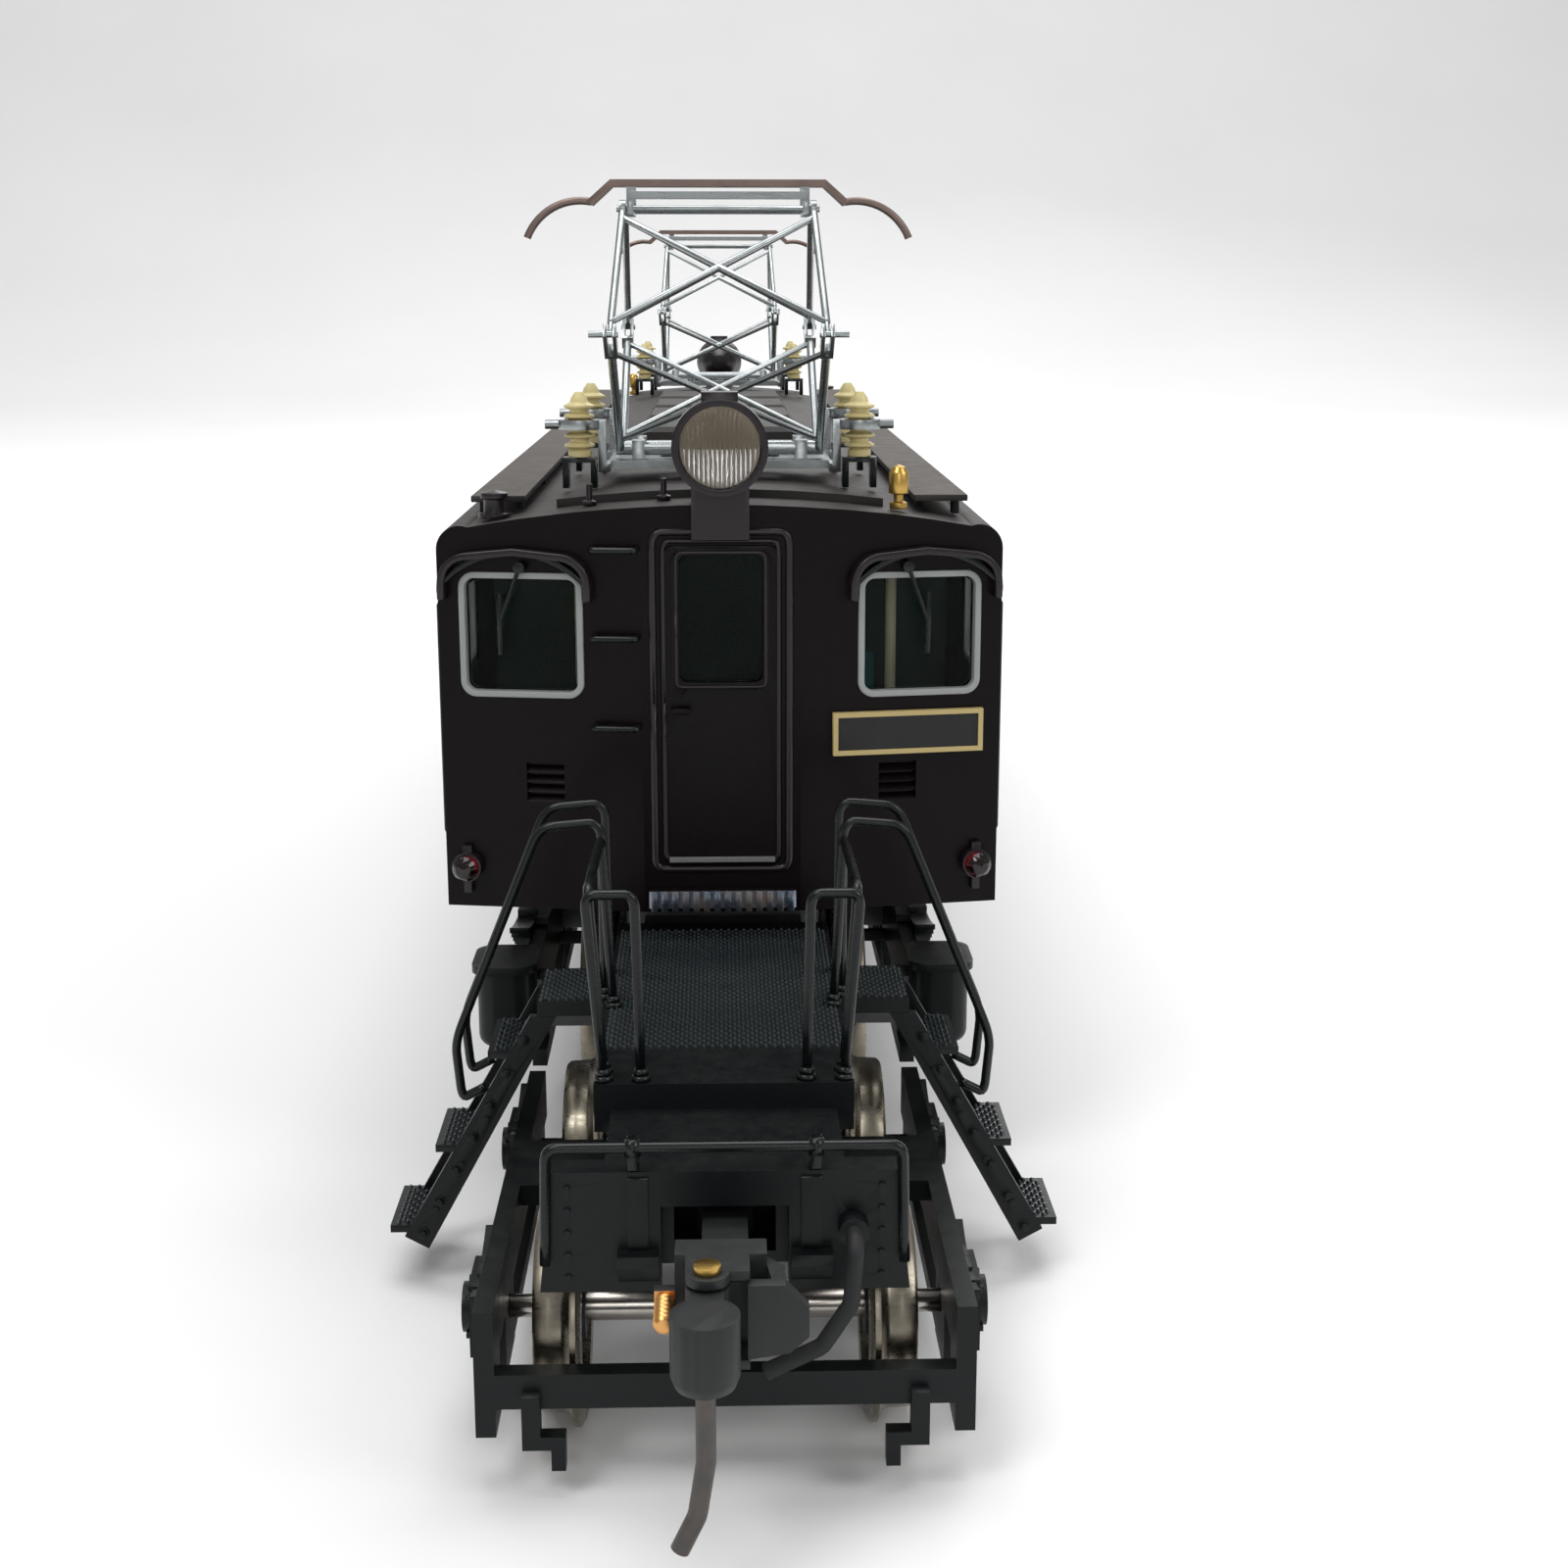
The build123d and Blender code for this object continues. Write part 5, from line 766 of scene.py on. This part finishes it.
def on_end_face(form, side):
    """Move a shape drawn beside the flat of an end onto the raked sheet, on the right or mirrored to the left."""
    place = Matrix.Translation((END_FLAT, END_FACE, 0)) @ Matrix.Rotation(math.radians(9), 4, "Z")
    bmesh.ops.transform(form, matrix=place, verts=form.verts)
    if side < 0:
        bmesh.ops.scale(form, vec=(-1, 1, 1), verts=form.verts)
        bmesh.ops.reverse_faces(form, faces=form.faces)


class LOCO_OT_rain_hoods(bpy.types.Operator):
    """Make the pressed rain hoods with turned-down ends over the end windows"""

    bl_idname = "loco.rain_hoods"
    bl_label = "Rain hoods"

    def execute(self, context):
        hoods = bmesh.new()
        left, right, foot, crown, bend = 2.95, 12.55, 38.9, 41.85, 2.0
        for _, turn in ENDS:
            for side in (-1, 1):
                form = bmesh.new()
                start = [form.verts.new((left, 0.05, foot)), form.verts.new((left, -0.95, foot))]
                edges = grow(form, [form.edges.new(start)], (0, 0, crown - bend - foot))
                edges = turn_corner(form, edges, (left + bend, 0, crown - bend), (0, 1, 0), math.pi / 2)
                edges = grow(form, edges, ((right - left) / 2 - bend, 0, 0.28))
                edges = grow(form, edges, ((right - left) / 2 - bend, 0, -0.28))
                edges = turn_corner(form, edges, (right - bend, 0, crown - bend), (0, 1, 0), math.pi / 2)
                grow(form, edges, (0, 0, bend + foot - crown))
                bmesh.ops.remove_doubles(form, verts=form.verts, dist=1e-4)
                bmesh.ops.recalc_face_normals(form, faces=form.faces)
                bmesh.ops.solidify(form, geom=form.faces, thickness=0.46)
                on_end_face(form, side)
                turned_about_centre(form, turn)
                add_form(hoods, form)
        piece = lay_piece("rain_hoods", hoods, "body", "lamp_paint")
        round_piece(piece, 0.1)
        return {"FINISHED"}


def round_piece(piece, width):
    """Round a new piece's edges and shade it smooth."""
    shade_smooth(piece)
    bevel = piece.modifiers.new("rounded_edges", "BEVEL")
    bevel.width = width * MM
    bevel.segments = 2
    bevel.limit_method = "ANGLE"
    bevel.angle_limit = math.radians(38)
    even = piece.modifiers.new("even_shading", "WEIGHTED_NORMAL")
    even.weight = 75


def wire_rail(form, points, radius, bend):
    """Add a round wire through the points, bent smoothly at its corners."""
    knots = [Vector(points[0])]
    for before, corner, after in zip(points, points[1:], points[2:]):
        corner = Vector(corner)
        for other in (before, after):
            run = Vector(other) - corner
            knots.append(corner + run.normalized() * min(bend, run.length * 0.45))
        knots.insert(-1, corner)
    knots.append(Vector(points[-1]))
    line = bpy.data.curves.new("rail_line", "CURVE")
    line.dimensions = "3D"
    spline = line.splines.new("NURBS")
    spline.points.add(len(knots) - 1)
    for knot, place in zip(spline.points, knots):
        knot.co = (*place, 1.0)
    spline.order_u = 3
    spline.use_endpoint_u = True
    spline.resolution_u = 5
    line.bevel_depth = radius
    line.bevel_resolution = 3
    line.use_fill_caps = True
    holder = bpy.data.objects.new("rail_line", line)
    mesh = bpy.data.meshes.new_from_object(holder)
    form.from_mesh(mesh)
    bpy.data.objects.remove(holder)
    bpy.data.curves.remove(line)
    bpy.data.meshes.remove(mesh)


def add_disc(form, place, radius, height, segments=16):
    """Add a short round flange standing on a point."""
    made = bmesh.ops.create_cone(
        form, cap_ends=True, segments=segments, radius1=radius, radius2=radius * 0.86, depth=height,
    )
    bmesh.ops.translate(form, vec=Vector(place) + Vector((0, 0, height / 2)), verts=made["verts"])


def add_block(form, centre, size):
    """Add a small rectangular bracket, its edges bevelled."""
    made = bmesh.ops.create_cube(form, size=1.0)
    bmesh.ops.scale(form, vec=size, verts=made["verts"])
    bmesh.ops.translate(form, vec=centre, verts=made["verts"])
    edges = list({edge for vert in made["verts"] for edge in vert.link_edges})
    bmesh.ops.bevel(form, geom=edges, offset=min(size) * 0.15, segments=2, profile=0.5, affect="EDGES", material=-1)


class LOCO_OT_handrails(bpy.types.Operator):
    """Make the bent wire rails of both ends, with their foot flanges and brackets"""

    bl_idname = "loco.handrails"
    bl_label = "Handrails"

    def execute(self, context):
        for end, turn in ENDS:
            form = bmesh.new()
            for side in (-1, 1):
                for points, bend in RAIL_RUNS:
                    wire_rail(form, [(side * x, y, z) for x, y, z in points], RAIL_RADIUS, bend)
                    for x, y, z in (points[0], points[-1]):
                        if abs(z - DECK_TOP) < 0.2:
                            add_disc(form, (side * x, y, DECK_TOP), 0.52, 0.3)
                            add_disc(form, (side * x, y, DECK_TOP + 0.3), 0.4, 0.35)
                add_block(form, (side * 4.4, BEAM_RAIL_Y + 0.6, 17.05), (0.6, 0.6, 1.7))
                add_disc(form, (side * 4.4, BEAM_RAIL_Y, 17.2), 0.42, 0.8)
            wire_rail(form, BEAM_RAIL, RAIL_RADIUS, 1.3)
            turned_about_centre(form, turn)
            piece = lay_piece(
                f"{end}_wire_rails", form, f"{end}_truck", "rail_paint",
                [f"{end}_handrails"],
            )
            shade_smooth(piece)
        return {"FINISHED"}


def wire_ring(form, half, bottom, top, y, radius, corner):
    """Add a closed round-cornered moulding standing on an upright face."""
    middle = (bottom + top) / 2
    points = [
        (-half, y, middle), (-half, y, top), (half, y, top), (half, y, bottom), (-half, y, bottom),
        (-half, y, middle),
    ]
    wire_rail(form, points, radius, corner)


class LOCO_OT_door_mouldings(bpy.types.Operator):
    """Make the rounded mouldings round each end door, its leaf and its window"""

    bl_idname = "loco.door_mouldings"
    bl_label = "Door mouldings"

    def execute(self, context):
        form = bmesh.new()
        for _, turn in ENDS:
            ends = bmesh.new()
            for half, bottom, top, radius, corner in DOOR_RINGS:
                wire_ring(ends, half, bottom, top, END_FACE - 0.02, radius, corner)
            turned_about_centre(ends, turn)
            add_form(form, ends)
        piece = lay_piece("door_mouldings", form, "body", "lamp_paint")
        shade_smooth(piece)
        return {"FINISHED"}


def make_bolt(radius, height, name):
    """A domed hexagon head standing on the origin along Z."""
    form = bmesh.new()
    for part_radius, foot, top_share, depth in (
        (radius * 1.3, 0.0, 1.0, height * 0.3), (radius, height * 0.3, 0.8, height * 0.7),
    ):
        made = bmesh.ops.create_cone(form, cap_ends=True, segments=6 if foot else 12, radius1=part_radius,
                                     radius2=part_radius * top_share, depth=depth)
        bmesh.ops.translate(form, vec=(0, 0, foot + depth / 2), verts=made["verts"])
    return template_of(form, name)


def seat_bolts(form, nodes, bolt, rays):
    """Stand a bolt wherever a ray first meets a face that squarely faces it."""
    trees = []
    for node in nodes:
        mesh = node.data
        places = [vert.co / MM for vert in mesh.vertices]
        trees.append(BVHTree.FromPolygons(places, [face.vertices for face in mesh.polygons]))
    for start, way in rays:
        hits = [tree.ray_cast(Vector(start), Vector(way)) for tree in trees]
        hits = [hit for hit in hits if hit[0] is not None]
        if not hits:
            continue
        place, normal = min(hits, key=lambda hit: hit[3])[:2]
        if abs(normal.dot(Vector(way))) > 0.97:
            facing = Vector(way) * -1
            turn = Vector((0, 0, 1)).rotation_difference(facing).to_matrix().to_4x4()
            stamp(form, bolt, Matrix.Translation(place - facing * 0.03) @ turn)


class LOCO_OT_frame_bolts(bpy.types.Operator):
    """Stand hexagon bolts along the truck side frames, the guide frames and the step stringers"""

    bl_idname = "loco.frame_bolts"
    bl_label = "Frame bolts"

    def execute(self, context):
        bolt = make_bolt(0.3, 0.34, "frame_bolt")
        for end, turn in ENDS:
            for body, parts, spans in (
                ("truck", ("side_frames", "side_steps"), FRAME_ROWS),
                ("guide_truck", ("guide_frame",), GUIDE_ROWS),
            ):
                rays = [((side * turn * 30.0, turn * y, z), (-side * turn, 0, 0)) for side in (-1, 1)
                        for z, first, last, count in spans for y in spread(first, last, count)]
                form = bmesh.new()
                nodes = [NODES[f"{end}_{part}"] for part in parts]
                seat_bolts(form, nodes, bolt, rays)
                if body == "truck":
                    rays = [((turn * side * (STRINGER_TOP[0] + STRINGER_RUN[0] * share), turn * -110.0,
                              STRINGER_TOP[1] - STRINGER_RUN[1] * share), (0, turn, 0))
                            for side in (-1, 1) for share in spread(0.0, 1.0, 7)]
                    seat_bolts(form, nodes[1:], bolt, rays)
                piece = lay_piece(f"{end}_{body}_bolts", form, f"{end}_{body}", "gear_paint")
                round_piece(piece, 0.03)
        return {"FINISHED"}


def spread(first, last, count):
    """Evenly spaced values from the first to the last."""
    return [first + (last - first) * step / (count - 1) for step in range(count)]


class LOCO_OT_pantograph_springs(bpy.types.Operator):
    """Make the raising springs that lie in the pantograph bases"""

    bl_idname = "loco.pantograph_springs"
    bl_label = "Pantograph springs"

    def execute(self, context):
        turns = context.scene.loco_detail.spring_turns
        for end, turn in ENDS:
            springs = bmesh.new()
            for side in (-1, 1):
                part = coil(Vector((side * 0.5, -PANTOGRAPH_Y, 46.95)), Vector((side * 3.3, 0, 0)), 0.36, 0.09, turns)
                turned_about_centre(part, turn)
                add_form(springs, part)
            lay_piece(f"{end}_raising_springs", springs, "body", "bright_steel")
        return {"FINISHED"}


# ---- stage ------------------------------------------------------------------------------------------
class LOCO_OT_stage(bpy.types.Operator):
    """Make the floor, the soft lights and the camera"""

    bl_idname = "loco.stage"
    bl_label = "Stage"

    def execute(self, context):
        settings = context.scene.loco_stage
        make_floor()
        make_lights(settings)
        make_camera(settings)
        return {"FINISHED"}


def grow(form, edges, move):
    """Extrude edges by a move and give the new far edges."""
    made = bmesh.ops.extrude_edge_only(form, edges=edges)["geom"]
    bmesh.ops.translate(form, vec=move, verts=[item for item in made if isinstance(item, bmesh.types.BMVert)])
    return [item for item in made if isinstance(item, bmesh.types.BMEdge) and item not in edges and all(
        vert in made for vert in item.verts)]


def make_floor():
    """A pale floor that turns up into a backdrop."""
    mesh = bpy.data.meshes.new("floor")
    sheet = bmesh.new()
    edge = [sheet.verts.new((-4, -2.5, 0)), sheet.verts.new((4, -2.5, 0))]
    rail = [sheet.edges.new(edge)]
    rail = grow(sheet, rail, (0, 3.3, 0))
    turned = bmesh.ops.spin(
        sheet, geom=rail, cent=(0, 0.8, 0.7), axis=(1, 0, 0), angle=math.pi / 2, steps=20, use_merge=False,
    )
    rail = [item for item in turned["geom_last"] if isinstance(item, bmesh.types.BMEdge)]
    grow(sheet, rail, (0, 0, 3.0))
    bmesh.ops.recalc_face_normals(sheet, faces=sheet.faces)
    for face in sheet.faces:
        face.smooth = True
    sheet.to_mesh(mesh)
    sheet.free()
    floor = bpy.data.objects.new("floor", mesh)
    bpy.context.scene.collection.objects.link(floor)
    material, tree, shader, coords = start_material("studio_floor")
    tone = mix_colour(tree, ramp(tree, noise(tree, coords, 8, 3), 0.3, 0.7), (0.83, 0.83, 0.83), (0.86, 0.86, 0.86))
    tree.links.new(tone, shader.inputs["Base Color"])
    shader.inputs["Roughness"].default_value = 0.7
    mesh.materials.append(material)


def make_lights(settings):
    """A bright even room with a large softbox above, one at each side, and one low in front."""
    scene = bpy.context.scene
    scene.view_settings.view_transform = "Standard"
    world = bpy.data.worlds.new("studio")
    scene.world = world
    world.use_nodes = True
    background = world.node_tree.nodes["Background"]
    background.inputs["Color"].default_value = (1, 1, 1, 1)
    background.inputs["Strength"].default_value = 0.35
    subject = (0, -0.05, 0.03)
    lamps = (
        ("key", (-0.35, -0.45, 0.75), subject, 0.3, 0.6), ("fill", (0.55, -0.35, 0.45), subject, 0.35, 0.45),
        ("top", (0.0, 0.0, 1.0), subject, 0.6, 1.1), ("front", (0.0, -0.9, 0.35), subject, 0.3, 0.2),
        ("back", (0.2, 0.9, 0.6), subject, 0.5, 0.5), ("backdrop", (0.0, 0.35, 1.0), (0.0, 1.25, 0.15), 1.0, 2.0),
    )
    for name, place, aim, size, share in lamps:
        data = bpy.data.lights.new(name, "AREA")
        data.energy = settings.light_power * share * 6
        data.size = size
        lamp = bpy.data.objects.new(name, data)
        lamp.location = place
        lamp.rotation_euler = (Vector(aim) - Vector(place)).to_track_quat("-Z", "Y").to_euler()
        scene.collection.objects.link(lamp)


def make_camera(settings):
    """The camera, a little above the end deck, looking along the locomotive."""
    data = bpy.data.cameras.new("camera")
    data.lens = settings.focal_length
    data.sensor_width = 36
    data.clip_start = 0.005
    camera = bpy.data.objects.new("camera", data)
    camera.location = settings.camera_place
    camera.rotation_euler = (math.radians(90) - settings.camera_pitch, 0, -settings.camera_turn)
    bpy.context.scene.collection.objects.link(camera)
    bpy.context.scene.camera = camera


# ---- sidebar and registration -------------------------------------------------------------------------
OPERATORS = (
    LOCO_OT_finishes, LOCO_OT_tread_plates, LOCO_OT_headlight_glasses, LOCO_OT_rain_hoods,
    LOCO_OT_handrails, LOCO_OT_door_mouldings, LOCO_OT_frame_bolts,
    LOCO_OT_pantograph_springs, LOCO_OT_stage,
)


class LOCO_PT_panel(bpy.types.Panel):
    """Lists the locomotive's build steps"""

    bl_idname = "LOCO_PT_panel"
    bl_label = "Locomotive"
    bl_space_type = "VIEW_3D"
    bl_region_type = "UI"
    bl_category = "Locomotive"

    def draw(self, context):
        for operator in OPERATORS:
            self.layout.operator(operator.bl_idname)


SETTINGS = (("loco_finish", FinishSettings), ("loco_detail", DetailSettings), ("loco_stage", StageSettings))


def register():
    """Register the classes and hang the settings on the scene."""
    for name, settings in SETTINGS:
        bpy.utils.register_class(settings)
        setattr(bpy.types.Scene, name, PointerProperty(type=settings))
    for item in OPERATORS + (LOCO_PT_panel,):
        bpy.utils.register_class(item)


def unregister():
    """Take everything off again."""
    for item in reversed(OPERATORS + (LOCO_PT_panel,)):
        bpy.utils.unregister_class(item)
    for name, settings in reversed(SETTINGS):
        delattr(bpy.types.Scene, name)
        bpy.utils.unregister_class(settings)


def main():
    """Build everything in order."""
    register()
    for operator in OPERATORS:
        group, name = operator.bl_idname.split(".")
        getattr(getattr(bpy.ops, group), name)()


if __name__ == "__main__":
    main()
